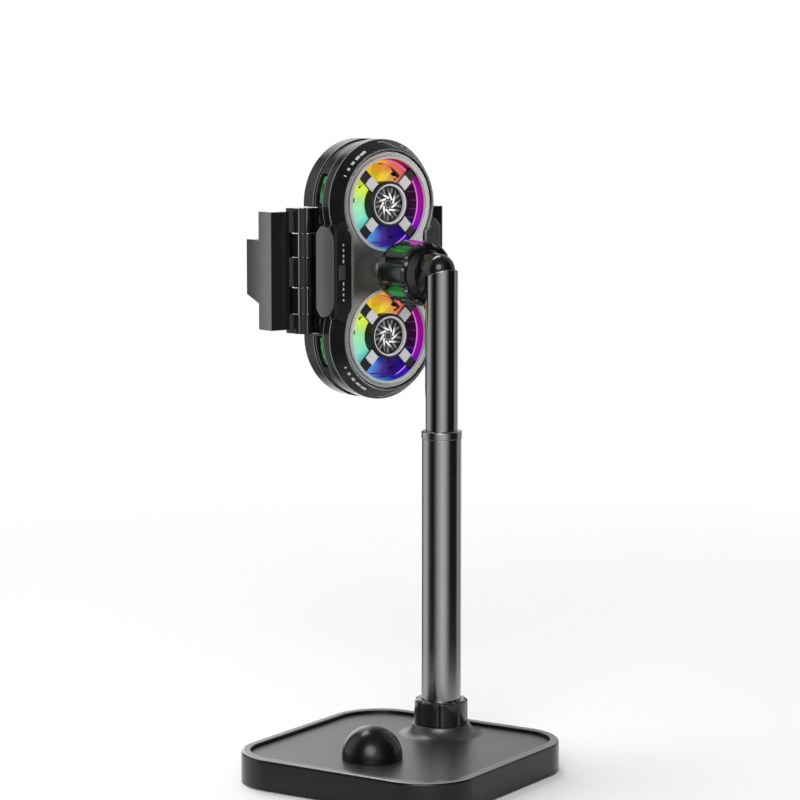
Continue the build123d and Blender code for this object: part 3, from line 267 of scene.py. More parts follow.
# %% Lamps
LAMP_CENTRE = Vector((0, 0, 120 * MM))


def soft_box(name, turned, raised, distance, width, height, power):
    """An oval lamp: degrees to the right of the camera and up, then millimetres and watts."""
    lamp = bpy.data.objects.new(name, bpy.data.lights.new(name, "AREA"))
    lamp.data.shape = "ELLIPSE"
    lamp.data.size, lamp.data.size_y, lamp.data.energy = width * MM, height * MM, power
    around, up = TURN + radians(turned), radians(raised)
    way = Vector((sin(around) * cos(up), -cos(around) * cos(up), sin(up)))
    lamp.location = LAMP_CENTRE + way * distance * MM
    lamp.rotation_euler = way.to_track_quat("Z", "Y").to_euler()
    scene.collection.objects.link(lamp)
    return lamp


soft_box("key_box", -8, 27, 1500, 1000, 1000, 13.0)
soft_box("top_box", -150, 62, 1300, 900, 420, 8.0)
near_box = soft_box("plate_box", 93, 9, 520, 180, 400, 1.5)
strips = [soft_box("left_strip", -47, 3, 900, 160, 260, 1.2),
          soft_box("right_strip", 54, 3, 900, 160, 260, 1.2)]

# %% Floor
FLOOR_RADIUS, FLOOR_SIDES = 1.2, 12
spokes = [radians(360 / FLOOR_SIDES * step) for step in range(FLOOR_SIDES)]
corners = [(FLOOR_RADIUS * cos(spoke), FLOOR_RADIUS * sin(spoke), 0) for spoke in spokes]
floor_mesh = bpy.data.meshes.new("floor")
floor_mesh.from_pydata(corners, [], [list(range(FLOOR_SIDES))])
floor = bpy.data.objects.new("floor", floor_mesh)
scene.collection.objects.link(floor)

floor_paint, floor_shader, place = start_finish("pale_floor", Base_Color=(0.95, 0.95, 0.95),
                                                Roughness=0.75)
glow = floor_paint.node_tree.nodes.new("ShaderNodeEmission")
clear = floor_paint.node_tree.nodes.new("ShaderNodeBsdfTransparent")
seen = Wire(place.tree, place.tree.nodes.new("ShaderNodeLightPath").outputs["Is Camera Ray"])
gloss = Wire(place.tree, seen.socket.node.outputs["Is Glossy Ray"])
distance = place.node("ShaderNodeVectorMath", {"operation": "LENGTH"}, {0: place}, output=1)
far = between(distance, 0.2, 0.75)
far = far.maths("MAXIMUM", far, between(distance, 0.07, 0.22) * gloss)


def blend_shaders(factor, low, high):
    """One shader where the factor is 0 and another where it is 1."""
    mixed = factor.node("ShaderNodeMixShader", {}, {0: factor})
    mixed.tree.links.new(low, mixed.socket.node.inputs[1])
    mixed.tree.links.new(high, mixed.socket.node.inputs[2])
    return mixed.socket


beyond = blend_shaders(seen, clear.outputs[0], glow.outputs[0])
surface = blend_shaders(far, floor_shader.outputs[0], beyond)
floor_paint.node_tree.links.new(surface, floor_paint.node_tree.nodes["Material Output"].inputs[0])
floor_mesh.materials.append(floor_paint)
print("floor:", 2 * FLOOR_RADIUS, "m wide")

# %% [markdown]
# ## Finishes of the black and grey parts
#
# Injection-moulded gloss black isn't a flat colour: the skin has a faint
# ripple, and handling leaves it a little duller in places. Satin parts carry the
# fine spark texture of their mould. Each finish below varies its roughness with
# one noise and its surface with a finer one.

# %% Painted edge highlights
HIGHLIGHT_CORE, HIGHLIGHT_FADE = 0.14, 0.24          # half widths of a painted highlight band, in millimetres


def paint_edge_highlights(place, axis, edges, tone, lighter):
    """A tone with thin lighter bands of painted highlight across an axis, at places in millimetres."""
    along = axes(place)["XYZ".index(axis)]
    for edge in edges:
        start = between(along, (edge - HIGHLIGHT_FADE) * MM, (edge - HIGHLIGHT_CORE) * MM)
        end = between(along, (edge + HIGHLIGHT_CORE) * MM, (edge + HIGHLIGHT_FADE) * MM)
        tone = mix_colours(start * (1 - end), tone, lighter)
    return tone


# %% Moulded plastics
PLASTIC_HIGHLIGHT, METAL_HIGHLIGHT = (0.20, 0.20, 0.205), (0.26, 0.26, 0.255)


def moulded(name, colour, roughness, grain, depth, spread=0.06, edges=(), **fixed):
    """Plastic: a tone with soft blotches, an uneven gloss, a mould grain and painted highlights on its edges.
    """
    material, shader, place = start_finish(name, **fixed)
    blotch = noise(place, 9.0, 3.0)
    lighter = tuple(min(1.0, channel * 1.18 + 0.002) for channel in colour)
    tone = mix_colours(between(blotch, 0.35, 0.7), colour, lighter)
    # painted highlight: lighter bands at the given depths stand in for light along the shell's edges
    if edges:
        tone = paint_edge_highlights(place, "Y", edges, tone, PLASTIC_HIGHLIGHT)
    tone.into(shader, "Base Color")
    (roughness - spread / 2 + blotch * spread).into(shader, "Roughness")
    bump(noise(place, grain, 3.0), depth, shader)
    return material


# Colour, roughness, grain's size and depth in millimetres, and what is special
PLASTICS = {
    "gloss_black": ((0.004, 0.004, 0.005), 0.1, 14.0, 0.01, dict(spread=0.04, Specular_IOR_Level=0.4)),
    # the bezel's edges carry painted highlight lines along its seams
    "bezel_black": ((0.006, 0.006, 0.006), 0.2, 8.0, 0.01,
                    dict(edges=(39.9, 44.2), Specular_IOR_Level=0.25)),
    "dome_black": ((0.004, 0.004, 0.004), 0.24, 14.0, 0.01, dict(spread=0.04, Specular_IOR_Level=0.35)),
    "line_grey": ((0.24, 0.24, 0.24), 0.4, 0.5, 0.006, {}),
    "satin_black": ((0.020, 0.020, 0.021), 0.38, 0.35, 0.010, {}),
    # the slate shells' edges carry painted highlight lines along their seam
    "slate": ((0.008, 0.008, 0.009), 0.26, 0.4, 0.005, dict(edges=(50.2, 50.9), Specular_IOR_Level=0.3)),
    "button_grey": ((0.035, 0.035, 0.036), 0.4, 0.3, 0.01, {}),
    "mark_white": ((0.40, 0.40, 0.39), 0.35, 0.5, 0.01, {}),
    "rim_white": ((0.40, 0.385, 0.375), 0.34, 0.5, 0.008, {}),
    "bead_grey": ((0.085, 0.085, 0.085), 0.25, 0.5, 0.006, dict(Coat_Weight=0.5)),
    "nylon": ((0.78, 0.77, 0.72), 0.45, 0.6, 0.01, {}),
    "ceramic": ((0.80, 0.80, 0.77), 0.6, 0.3, 0.01, {}),
    "rubber": ((0.022, 0.022, 0.023), 0.75, 0.5, 0.03, {}),
    "silicone": ((0.055, 0.058, 0.065), 0.55, 0.7, 0.02, {}),
    "board_green": ((0.012, 0.075, 0.030), 0.35, 0.8, 0.02, {}),
}
finish = {name: moulded(name, *values, **special) for name, (*values, special) in PLASTICS.items()}
print("plastics:", sorted(finish))

# %% [markdown]
# ## Metals
#
# The mast is anodised and polished along its length. Its grain runs upwards, so
# the noise is stretched a long way along Z. Plain screws and pins are turned,
# and the cold plate is raw extruded aluminium.

# %% Metals
def metal(name, colour, roughness, stretch, grain=0.25, depth=0.004, metallic=1.0, rims=(),
          **fixed):
    """Metal with a directional grain in its gloss, its tone and its surface, and painted highlight bands at
    given heights.
    """
    material, shader, place = start_finish(name, Metallic=metallic, **fixed)
    streak = noise(place, grain, 4.0, stretch)
    cloud = noise(place, 18.0, 2.0)
    darker = tuple(channel * 0.72 for channel in colour)
    tone = mix_colours(streak * 0.6 + cloud * 0.4, darker, colour)
    paint_edge_highlights(place, "Z", rims, tone, METAL_HIGHLIGHT).into(shader, "Base Color")
    (roughness - 0.06 + streak * 0.07 + cloud * 0.05).into(shader, "Roughness")
    bump(streak, depth, shader)
    return material


# Colour, roughness, stretch of the grain along X, Y and Z, and what is special
METALS = {
    "mast_metal": ((0.36, 0.358, 0.35), 0.19, (1, 1, 0.02), dict(depth=0.002)),
    "inner_metal": ((0.32, 0.32, 0.315), 0.15, (1, 1, 0.02), dict(depth=0.001)),
    "nut_metal": ((0.030, 0.030, 0.031), 0.2, (1, 1, 0.2), dict(metallic=0.5, Coat_Weight=0.5)),
    # the base's rim carries a painted highlight along its top edge
    "base_metal": ((0.008, 0.008, 0.008), 0.22, (1, 1, 1),
                   dict(grain=0.5, depth=0.002, metallic=0.12, rims=(12.3,), Specular_IOR_Level=0.35)),
    "deck_metal": ((0.10, 0.10, 0.098), 0.36, (1, 1, 1), dict(grain=0.4, depth=0.004, metallic=0.75)),
    "plate_metal": ((0.30, 0.30, 0.29), 0.32, (1, 1, 1), dict(grain=0.5, depth=0.003, metallic=0.9)),
    "steel": ((0.55, 0.55, 0.56), 0.28, (1, 1, 0.1), {}),
    "cast_plate": ((0.20, 0.20, 0.20), 0.6, (1, 1, 1), dict(grain=0.8, depth=0.05)),
    "sink_metal": ((0.72, 0.73, 0.75), 0.3, (1, 0.05, 1), {}),
}
for name, (*values, special) in METALS.items():
    finish[name] = metal(name, *values, **special)
print("finishes:", len(finish))

# %% [markdown]
# ## The fans' light
#
# Under each fan sits a ring of small coloured lamps, so the colour changes with
# the angle round the fan: yellow at the upper left, then red, magenta, violet,
# blue and cyan back to green. One colour ramp over the angle does this. The
# angle is worked out from the place on the piece, so it keeps to the fan in any
# view. The blades and heat sinks are no lamps: the ring's light on them is
# painted on as a glow, with painted shade next to the hub and on the right.

# %% Colours round a fan
WALL = [
    (0.00, (0.36, 0.87, 0.42)), (0.10, (0.03, 0.45, 0.60)), (0.17, (0.06, 0.36, 0.80)),
    (0.22, (0.02, 0.32, 0.55)), (0.29, (0.008, 0.010, 0.34)), (0.36, (0.040, 0.001, 0.40)),
    (0.43, (0.24, 0.001, 0.34)), (0.50, (0.30, 0.001, 0.28)), (0.57, (0.24, 0.001, 0.18)),
    (0.63, (0.12, 0.001, 0.03)), (0.70, (0.30, 0.012, 0.02)), (0.77, (0.28, 0.03, 0.01)),
    (0.83, (0.80, 0.38, 0.03)), (0.90, (0.78, 0.82, 0.03)), (1.00, (0.36, 0.87, 0.42)),
]
# RIM_GLOW and CORE_GLOW are painted light on the blades and heat sinks; their near-black stretch on the right
# is painted shade
RIM_GLOW = [
    (0.00, (0.38, 0.90, 0.45)), (0.06, (0.32, 0.88, 0.66)), (0.105, (0.03, 0.42, 0.52)),
    (0.145, (0.10, 0.38, 0.84)), (0.175, (0.07, 0.16, 0.58)), (0.21, (0.05, 0.015, 0.26)),
    (0.27, (0.018, 0.003, 0.12)), (0.32, (0.008, 0.002, 0.22)), (0.37, (0.008, 0.002, 0.32)),
    (0.42, (0.020, 0.001, 0.03)),
    (0.58, (0.020, 0.001, 0.02)), (0.635, (0.50, 0.002, 0.03)), (0.68, (0.72, 0.11, 0.12)),
    (0.735, (0.70, 0.14, 0.10)), (0.79, (0.86, 0.34, 0.05)), (0.85, (0.92, 0.55, 0.02)),
    (0.89, (0.88, 0.86, 0.03)), (0.95, (0.66, 0.92, 0.12)), (1.00, (0.38, 0.90, 0.45)),
]
CORE_GLOW = [
    (0.00, (0.22, 0.78, 0.10)), (0.07, (0.14, 0.72, 0.42)), (0.12, (0.01, 0.22, 0.16)),
    (0.17, (0.02, 0.03, 0.30)), (0.26, (0.03, 0.004, 0.12)), (0.38, (0.008, 0.001, 0.16)),
    (0.43, (0.020, 0.001, 0.02)), (0.58, (0.020, 0.001, 0.02)), (0.64, (0.52, 0.001, 0.02)),
    (0.70, (0.85, 0.28, 0.14)), (0.76, (0.95, 0.62, 0.06)), (0.86, (0.93, 0.78, 0.02)),
    (0.94, (0.66, 0.93, 0.02)), (1.00, (0.22, 0.78, 0.10)),
]
LEAN = 0.754                # sideways per depth, so the colours fill the openings from the front left
HEAD_Z, FAN_RISE = 195.1, 26.7             # the ball's middle, and each fan's middle above or below it
FRONT = 34.5                # depth of the face plate
LEVELS = {"upper": 1, "lower": -1}
SMOKE, SMOKE_LIGHT = (0.006, 0.006, 0.007), (0.012, 0.012, 0.013)


def fan_polar(place, level, lean=0.0, aside=0.0):
    """The angle round a fan, as a share of a turn from its left side, the radius and the depth."""
    x, y, z = axes(place)
    z = z - (HEAD_Z + LEVELS[level] * FAN_RISE) * MM
    x = x - (y - FRONT * MM) * lean - aside * MM
    angle = z.maths("ARCTAN2", z, x) / (2 * pi) + 0.5
    return angle, (x * x + z * z) ** 0.5, y


def inner_glow(place, level):
    """Painted glow of what lies behind a guard: by angle, with another row of colours near the hub and a
    painted shadow beside the hub on the left.
    """
    angle, radius, depth = fan_polar(place, level, LEAN)
    outer, inner = ramp(angle, RIM_GLOW), ramp(angle, CORE_GLOW)
    glow = mix_colours(between(radius, 11.0 * MM, 14.5 * MM), inner, outer)
    # painted shadow: a dark green band next to the hub on the left, where the ring's inner wall shades it
    left = between(angle, 0.86, 0.89) + (1 - between(angle, 0.11, 0.14))
    painted_shadow_core = mix_colours(left, inner, (0.002, 0.10, 0.02))
    return mix_colours(between(radius, 10.2 * MM, 11.2 * MM), painted_shadow_core, glow)


def lit(name, level, strength):
    """Smoked plastic behind a guard, with the fans' light painted on as a glow in their colours."""
    material, shader, place = start_finish(name, Emission_Strength=strength, Specular_IOR_Level=0.15,
                                           Roughness=0.45)
    cloud = noise(place, 4.0, 1.0)
    mix_colours(cloud, SMOKE, SMOKE_LIGHT).into(shader, "Base Color")
    # painted light: the fans' colours glow on a part that is no lamp
    mix_colours(cloud * 0.25, inner_glow(place, level), (0, 0, 0)).into(shader, "Emission Color")
    return material


SEAM, RING_FLOOR = (38.75, 38.95, 39.4), (39.38, 39.42)      # depths of the ring's seam and of its end
RING_LAMPS = 30


def ring_light(name, level):
    """The ring's wall: bright down to a seam, then dark with thin streaks on the right."""
    material, shader, place = start_finish(name, Emission_Strength=1.0, Specular_IOR_Level=0.15,
                                           Roughness=0.4)
    angle, radius, depth = fan_polar(place, level)
    mix_colours(noise(place, 4.0, 1.0), SMOKE, SMOKE_LIGHT).into(shader, "Base Color")
    seam = between(depth, SEAM[0] * MM, SEAM[1] * MM) * (depth < SEAM[2] * MM)
    seam = seam * between(angle, 0.30, 0.33) * (1 - between(angle, 0.70, 0.76))
    bright = mix_colours(seam, ramp(angle, WALL), (0.80, 0.22, 0.80))
    turns = angle * 2 * pi * RING_LAMPS
    right_side = between(angle, 0.40, 0.42) * (1 - between(angle, 0.58, 0.60))
    streak = between(turns.maths("SINE", turns), 0.90, 0.98) * right_side
    deep = mix_colours(streak * 0.5, inner_glow(place, level), (0.16, 0.05, 0.17))
    ends = between(depth, RING_FLOOR[0] * MM, RING_FLOOR[1] * MM)
    mix_colours(ends, bright, deep).into(shader, "Emission Color")
    return material


for level in LEVELS:
    finish[f"{level}_ring_light"] = ring_light(f"{level}_ring_light", level)
    finish[f"{level}_blades"] = lit(f"{level}_blades", level, 1.0)
    finish[f"{level}_sink_glow"] = lit(f"{level}_sink_glow", level, 0.8)
print("lit finishes:", [name for name in finish if "light" in name or "blades" in name])

# %% [markdown]
# ## Guard in two tones
#
# The guard is one moulding, painted in two tones: bright blocks on the spokes
# next to the hub, and black arms that vanish against the shadow further out. The
# distance from the fan's middle is enough to tell the two apart.

# %% Guard
COLLAR = (8.05, 8.12, 9.5, 9.6)            # radii where the dark ring round the hub starts and ends
ARM = (14.02, 14.12, 18.20, 18.28)         # radii where the dark part of a spoke starts and ends
SUNK = (35.55, 35.6)                       # depth behind which the guard is dark
PAINTED_GLOW_WALL = (18.24, 18.3, 34.9, 35.0)       # radius and depth where the rim's inner wall has painted glow


def guard_finish(level):
    """Silver blocks, dark arms, and a rim whose inner wall has the fans' colours painted on as a glow."""
    material, shader, place = start_finish(f"{level}_guard", Emission_Strength=1.0, Specular_IOR_Level=0.15)
    angle, radius, depth = fan_polar(place, level)
    grain = noise(place, 0.6, 3.0)
    silver = mix_colours(grain, (0.46, 0.44, 0.46), (0.52, 0.50, 0.52))
    near = fan_polar(place, level, aside=0.3)[1]
    collar = between(near, COLLAR[0] * MM, COLLAR[1] * MM)
    collar = collar * (1 - between(radius, COLLAR[2] * MM, COLLAR[3] * MM))
    arm = between(radius, ARM[0] * MM, ARM[1] * MM) * (1 - between(radius, ARM[2] * MM, ARM[3] * MM))
    dark = arm + collar + between(depth, SUNK[0] * MM, SUNK[1] * MM)
    mix_colours(dark, silver, SMOKE).into(shader, "Base Color")
    (0.42 + grain * 0.1 - dark * 0.12).into(shader, "Roughness")
    bump(grain, 0.003, shader)
    # painted light: the rim's inner wall glows in the fans' colours
    wall = between(radius, PAINTED_GLOW_WALL[0] * MM, PAINTED_GLOW_WALL[1] * MM)
    wall = wall * between(depth, PAINTED_GLOW_WALL[2] * MM, PAINTED_GLOW_WALL[3] * MM)
    mix_colours(wall, (0, 0, 0), ramp(angle, WALL)).into(shader, "Emission Color")
    return material


for level in LEVELS:
    finish[f"{level}_guard"] = guard_finish(level)
print("guards:", [name for name in finish if "guard" in name])

# %% [markdown]
# ## Hub cap
#
# A black disc with raised silver vanes. The vanes are already raised in the
# solid, so the finish only has to tell high from low: whatever stands in front
# of the disc's face is silver.

# %% Hub cap
VANE_FRONT = (35.44, 35.36)                # depths between which a vane turns from face to silver
RAYS = 9


def hub_finish(level):
    """Silver vanes on a black disc with faint rays near its middle."""
    material, shader, place = start_finish(f"{level}_hub", Specular_IOR_Level=0.2)
    angle, radius, depth = fan_polar(place, level)
    raised = between(0 - depth, -VANE_FRONT[0] * MM, -VANE_FRONT[1] * MM)
    vane = mix_colours(between(radius, 3.2 * MM, 5.2 * MM), (0.78, 0.78, 0.78), (0.10, 0.10, 0.10))
    silver = mix_colours(between(radius, 1.3 * MM, 1.7 * MM), (0.03, 0.03, 0.03), vane)
    turns = angle * 2 * pi * RAYS
    band = between(radius, 3.0 * MM, 4.0 * MM) * (1 - between(radius, 6.4 * MM, 7.2 * MM))
    ray = between(turns.maths("SINE", turns), 0.55, 0.95) * band
    face = mix_colours(ray, (0.003, 0.003, 0.003), (0.16, 0.16, 0.16))
    mix_colours(raised, face, silver).into(shader, "Base Color")
    (raised * 0.4).into(shader, "Metallic")
    (0.3 + noise(place, 2.0) * 0.12).into(shader, "Roughness")
    return material


for level in LEVELS:
    finish[f"{level}_hub"] = hub_finish(level)
print("hubs:", [name for name in finish if "hub" in name])

# %% [markdown]
# ## Painted spill of light
#
# The lobes of the ball's nut stand close to the fans, and the fans' light on them
# is painted on as soft glowing patches. The vents in the sides show a light pipe
# behind them.

# %% Painted spill on the nut and glow of the vents
def painted_spill_finish(spots):
    """Gloss black with soft patches of painted light: degrees round the ball, depth, and how far each
    reaches.
    """
    material, shader, place = start_finish("nut_black", Emission_Strength=1.0)
    x, y, z = axes(place)
    z = z - HEAD_Z * MM
    around = z.maths("ARCTAN2", z, x) * (180 / pi)
    glow = (0, 0, 0)
    for colour, degrees, reach, depth, length in spots:
        sideways, inwards = (around - degrees) / reach, (y - depth * MM) / (length * MM)
        off = (sideways ** 2.0 + inwards ** 2.0) ** 0.5
        # painted light: a soft patch that glows in a fan's colour
        glow = mix_colours(1 - between(off, 0.45, 1.0), glow, colour)
    glow.into(shader, "Emission Color")
    cloud = noise(place, 9.0, 2.0)
    mix_colours(cloud, (0.004, 0.004, 0.005), (0.009, 0.009, 0.010)).into(shader, "Base Color")
    (0.09 + cloud * 0.05).into(shader, "Roughness")
    return material


def vent_glow():
    """A light pipe: green on the left, magenta on the right, weaker in places."""
    material, shader, place = start_finish("vent_glow", Emission_Strength=1.0)
    colour = mix_colours(between(axes(place)[0], -1 * MM, 1 * MM), (0.004, 0.26, 0.05), (0.25, 0.003, 0.24))
    patch = between(noise(place, 3.0, 1.0), 0.35, 0.65)
    mix_colours(patch, (0, 0.01, 0), colour).into(shader, "Emission Color")
    mix_colours(patch, (0.01, 0.012, 0.01), (0.03, 0.04, 0.03)).into(shader, "Base Color")
    (0.3 + patch * 0.1).into(shader, "Roughness")
    return material


# colours of the painted spill of the fans' light
PAINTED_SPILL_GREEN, PAINTED_SPILL_MAGENTA = (0.002, 0.13, 0.014), (0.42, 0.015, 0.38)
finish["nut_black"] = painted_spill_finish([
    (PAINTED_SPILL_GREEN, 128.0, 14.0, 15.5, 6.5),
    (PAINTED_SPILL_GREEN, -146.0, 15.0, 15.5, 6.5),
    (PAINTED_SPILL_MAGENTA, 100.0, 11.0, 13.5, 5.0),
])
finish["vent_glow"] = vent_glow()
print("spill:", [name for name in finish if "nut" in name or "glow" in name])

# %% [markdown]
# ## Jaws with a painted lit side, and the grip panels
#
# Each jaw is black. Its outer side, the cheek, is satin, and its grey is painted
# light from the side. The cheek is everything further out than the jaw's side
# wall, so the distance from the middle of the object picks it out. The grip
# panels are satin grey. On both, painted shade changes the tone with the depth.

# %% Jaws and grip panels
CHEEK_START = (43.15, 43.3)                # sideways, where a jaw turns from black to its painted lit grey
# depths over which painted shade darkens the cheek and the grip panels
CHEEK_SHADE_DEPTHS, PANEL_SHADE_DEPTHS = (55.0, 73.0), (36.0, 48.0)


def jaw_finish():
    """Gloss black with a satin cheek whose grey is painted light, darkening towards the back as painted
    shade.
    """
    material, shader, place = start_finish("jaw_black", Specular_IOR_Level=0.3)
    x, y, z = axes(place)
    grain = noise(place, 0.35, 3.0)
    cheek = between(x.maths("ABSOLUTE", x), CHEEK_START[0] * MM, CHEEK_START[1] * MM)
    along = between(y, CHEEK_SHADE_DEPTHS[0] * MM, CHEEK_SHADE_DEPTHS[1] * MM)
    # painted shade: the cheek's grey darkens towards the back
    grey = mix_colours(along, (0.155, 0.155, 0.148), (0.022, 0.022, 0.021))
    grey = mix_colours(noise(place, 9.0) * 0.25, grey, (0.02, 0.02, 0.02))
    # the grey on the cheek is painted light from the side
    mix_colours(cheek, SMOKE, grey).into(shader, "Base Color")
    (0.16 + cheek * 0.24 + grain * 0.05).into(shader, "Roughness")
    bump(grain, 0.005, shader)
    return material


def panel_finish():
    """Satin grey with painted shade that darkens it towards the front."""
    material, shader, place = start_finish("panel_grey")
    grain = noise(place, 0.3, 3.0)
    along = between(axes(place)[1], PANEL_SHADE_DEPTHS[0] * MM, PANEL_SHADE_DEPTHS[1] * MM)
    # painted shade: the panel darkens towards the front
    mix_colours(along, (0.070, 0.070, 0.067), (0.185, 0.183, 0.176)).into(shader, "Base Color")
    (0.46 + grain * 0.08).into(shader, "Roughness")
    bump(grain, 0.01, shader)
    return material


finish["panel_grey"] = panel_finish()
finish["jaw_black"] = jaw_finish()
print("all finishes:", len(finish))

# %% [markdown]
# ## Real edges
#
# A CAD edge is a perfect corner, and no real one is. The light line along a
# moulded edge comes from its small radius. Each visible solid is copied, its
# loose triangles are welded, and a bevel rounds only the sharp edges. The copy
# then stands for the solid, which stays in its place unseen.


WELD, FLAT_ANGLE, SHARP_ANGLE, SHADE_ANGLE = 0.002 * MM, radians(1.0), radians(30), radians(35)


def bake_modifiers(skin):
    """Keep what the modifiers make as the mesh itself."""
    evaluated = skin.evaluated_get(bpy.context.evaluated_depsgraph_get())
    skin.data = bpy.data.meshes.new_from_object(evaluated)
    skin.modifiers.clear()


def dress(node, material, radius):
    """Replace a solid with a copy whose sharp edges have a radius, in millimetres."""
    solid = frame["nodes"][node]
    mesh = solid.data.copy()
    mesh.name = f"{node}_skin"
    work = bmesh.new()
    work.from_mesh(mesh)
    bmesh.ops.remove_doubles(work, verts=work.verts, dist=WELD)
    bmesh.ops.dissolve_limit(work, angle_limit=FLAT_ANGLE, verts=work.verts, edges=work.edges)
    work.to_mesh(mesh)
    work.free()
    mesh.materials.clear()
    mesh.materials.append(material)
    mesh.polygons.foreach_set("material_index", [0] * len(mesh.polygons))
    mesh.polygons.foreach_set("use_smooth", [True] * len(mesh.polygons))
    skin = bpy.data.objects.new(f"{node}_skin", mesh)
    scene.collection.objects.link(skin)
    if radius:
        rounded = skin.modifiers.new("edge", "BEVEL")
        rounded.width, rounded.segments = radius * MM, 2
        rounded.limit_method, rounded.angle_limit = "ANGLE", SHARP_ANGLE
        rounded.use_clamp_overlap = True
        bake_modifiers(skin)
    skin.data.set_sharp_from_angle(angle=SHADE_ANGLE)
    weighed = skin.modifiers.new("weigh", "WEIGHTED_NORMAL")
    weighed.keep_sharp = True
    bake_modifiers(skin)
    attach(skin, solid["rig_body"])
    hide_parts(node)


# The finish of each visible solid, and the radius of its edges in millimetres
dressed = {
    "base_shell": ("base_metal", 0.5), "deck_panel": ("deck_metal", 0.2), "base_dome": ("dome_black", 0.2),
    "mast_nut": ("nut_metal", 0.35), "outer_tube": ("mast_metal", 0.15), "tube_collar": ("mast_metal", 0.2),
    "inner_tube": ("inner_metal", 0.1), "elbow": ("gloss_black", 0.2), "ball_lock_nut": ("nut_black", 0.5),
    "ball_stud": ("steel", 0.1), "front_bezel": ("bezel_black", 0.3), "face_plate": ("plate_metal", 0.15),
    "mid_frame": ("slate", 0.12), "rear_case": ("slate", 0.4), "mode_button": ("button_grey", 0.15),
    "left_grip_panel": ("panel_grey", 0.2), "right_grip_panel": ("panel_grey", 0.2),
    "left_jaw": ("jaw_black", 0.3), "right_jaw": ("jaw_black", 0.3),
    "left_jaw_carriage": ("gloss_black", 0.2), "right_jaw_carriage": ("gloss_black", 0.2),
    "left_jaw_pad": ("rubber", 0.4), "right_jaw_pad": ("rubber", 0.4), "cooling_pad": ("silicone", 0.5),
    "rubber_mat": ("rubber", 0.2),
    "upper_fan_guard": ("upper_guard", 0.08), "lower_fan_guard": ("lower_guard", 0.08),
    "upper_hub_cap": ("upper_hub", 0.08), "lower_hub_cap": ("lower_hub", 0.08),
    "upper_impeller": ("upper_blades", 0.0), "lower_impeller": ("lower_blades", 0.0),
    "upper_light_ring": ("upper_ring_light", 0.0), "lower_light_ring": ("lower_ring_light", 0.0),
}
for node, (name, radius) in dressed.items():
    dress(node, finish[name], radius)
print("dressed:", len(dressed), "solids")

# %% Finishes of the solids that stay as they are
carried = {
    "cast_plate": ["base_weight"],
    "satin_black": ["bottom_cover", "jaw_pinion", "upper_fan_motor", "lower_fan_motor"],
    "steel": ["base_screws", "mast_bolt", "mast_washer", "case_screws", "pinion_axle", "left_hinge_pin",
              "right_hinge_pin", "upper_rotor_shaft", "lower_rotor_shaft", "usb_inlet"],
    "nylon": ["mast_plug", "swivel_plug", "outer_ball_liner", "inner_ball_liner"],
    "board_green": ["upper_led_board", "lower_led_board", "main_board"],
    "upper_sink_glow": ["upper_heat_sink"],
    "lower_sink_glow": ["lower_heat_sink"],
    "sink_metal": ["cold_plate"],
    "ceramic": ["upper_peltier", "lower_peltier"],
}
for name, nodes in carried.items():
    for node in nodes:
        materials = frame["nodes"][node].data.materials
        if not materials:
            materials.append(finish[name])
        for index in range(len(materials)):
            materials[index] = finish[name]
covered = set(dressed) | {node for nodes in carried.values() for node in nodes}
print("solids without a finish:", sorted(set(frame["nodes"]) - covered))

# %% [markdown]
# ## Marks and beads on the front
#
# The front shell carries rows of small light marks that grow along the slope, a
# raised bead round the face plate and a pale lip round each fan. Every one of
# them follows a line, so they share two Geometry Nodes trees. One tree sets a row
# of small rounded bars along a line, and the other sweeps a round profile along
# it. The lines themselves are plain edges, with the way the surface faces kept at
# each point.

# %% Lines on the front
FACE_RADIUS = 22.6
SLOPE, SLOPE_OUT, SLOPE_FORWARD = 5.4 / 3.4, 0.846, -0.533     # depth per radius, and the way it faces
FORWARD = (0, -1, 0)


def on_slope(radius, degrees, level):
    """A point of the shell's slope round a fan, and the way that it faces."""
    across, up = cos(radians(degrees)), sin(radians(degrees))
    depth = FRONT + max(0.0, radius - FACE_RADIUS) * SLOPE
    point = (radius * across, depth, HEAD_Z + level * (FAN_RISE + radius * up))
    return point, (SLOPE_OUT * across, SLOPE_FORWARD, level * SLOPE_OUT * up)


def round_fan(radius, degrees, depth, level):
    """A point on a circle round a fan, facing forward."""
    across, up = cos(radians(degrees)), sin(radians(degrees))
    return (radius * across, depth, HEAD_Z + level * (FAN_RISE + radius * up)), FORWARD


def twin_line(radius, waist, corner, depth):
    """The outline of two circles joined by a straight waist, as a closed line."""
    rise = FAN_RISE - ((radius + corner) ** 2 - (waist + corner) ** 2) ** 0.5
    turn_in = atan2(rise - FAN_RISE, waist + corner)
    quarter = [(waist + corner - corner * cos(t), rise + corner * sin(t))
               for t in (k / 6 * (pi + turn_in) * 0.999 for k in range(7)) if t < pi / 2]
    bearings = [turn_in + k / 36 * (pi / 2 - turn_in) for k in range(37)]
    arc = [(radius * cos(bearing), FAN_RISE + radius * sin(bearing)) for bearing in bearings]
    outside = [p for p in quarter if hypot(p[0], p[1] - FAN_RISE) >= radius]
    upper_right = [(waist, 0.0)] + outside + arc
    upper_left = [(-x, z) for x, z in reversed(upper_right[:-1])]
    upper = upper_right + upper_left
    lower = [(x, -z) for x, z in reversed(upper[1:-1])]
    return [((x, depth, HEAD_Z + z), FORWARD) for x, z in upper + lower]


def edge_line(name, points, closed=False):
    """A line of edges in metres that remembers at each point the way it faces."""
    mesh = bpy.data.meshes.new(name)
    count = len(points)
    links = [(k, (k + 1) % count) for k in range(count if closed else count - 1)]
    mesh.from_pydata([tuple(c * MM for c in point) for point, face in points], links, [])
    facing = mesh.attributes.new("facing", "FLOAT_VECTOR", "POINT")
    facing.data.foreach_set("vector", [c for point, face in points for c in face])
    line = bpy.data.objects.new(name, mesh)
    scene.collection.objects.link(line)
    return line


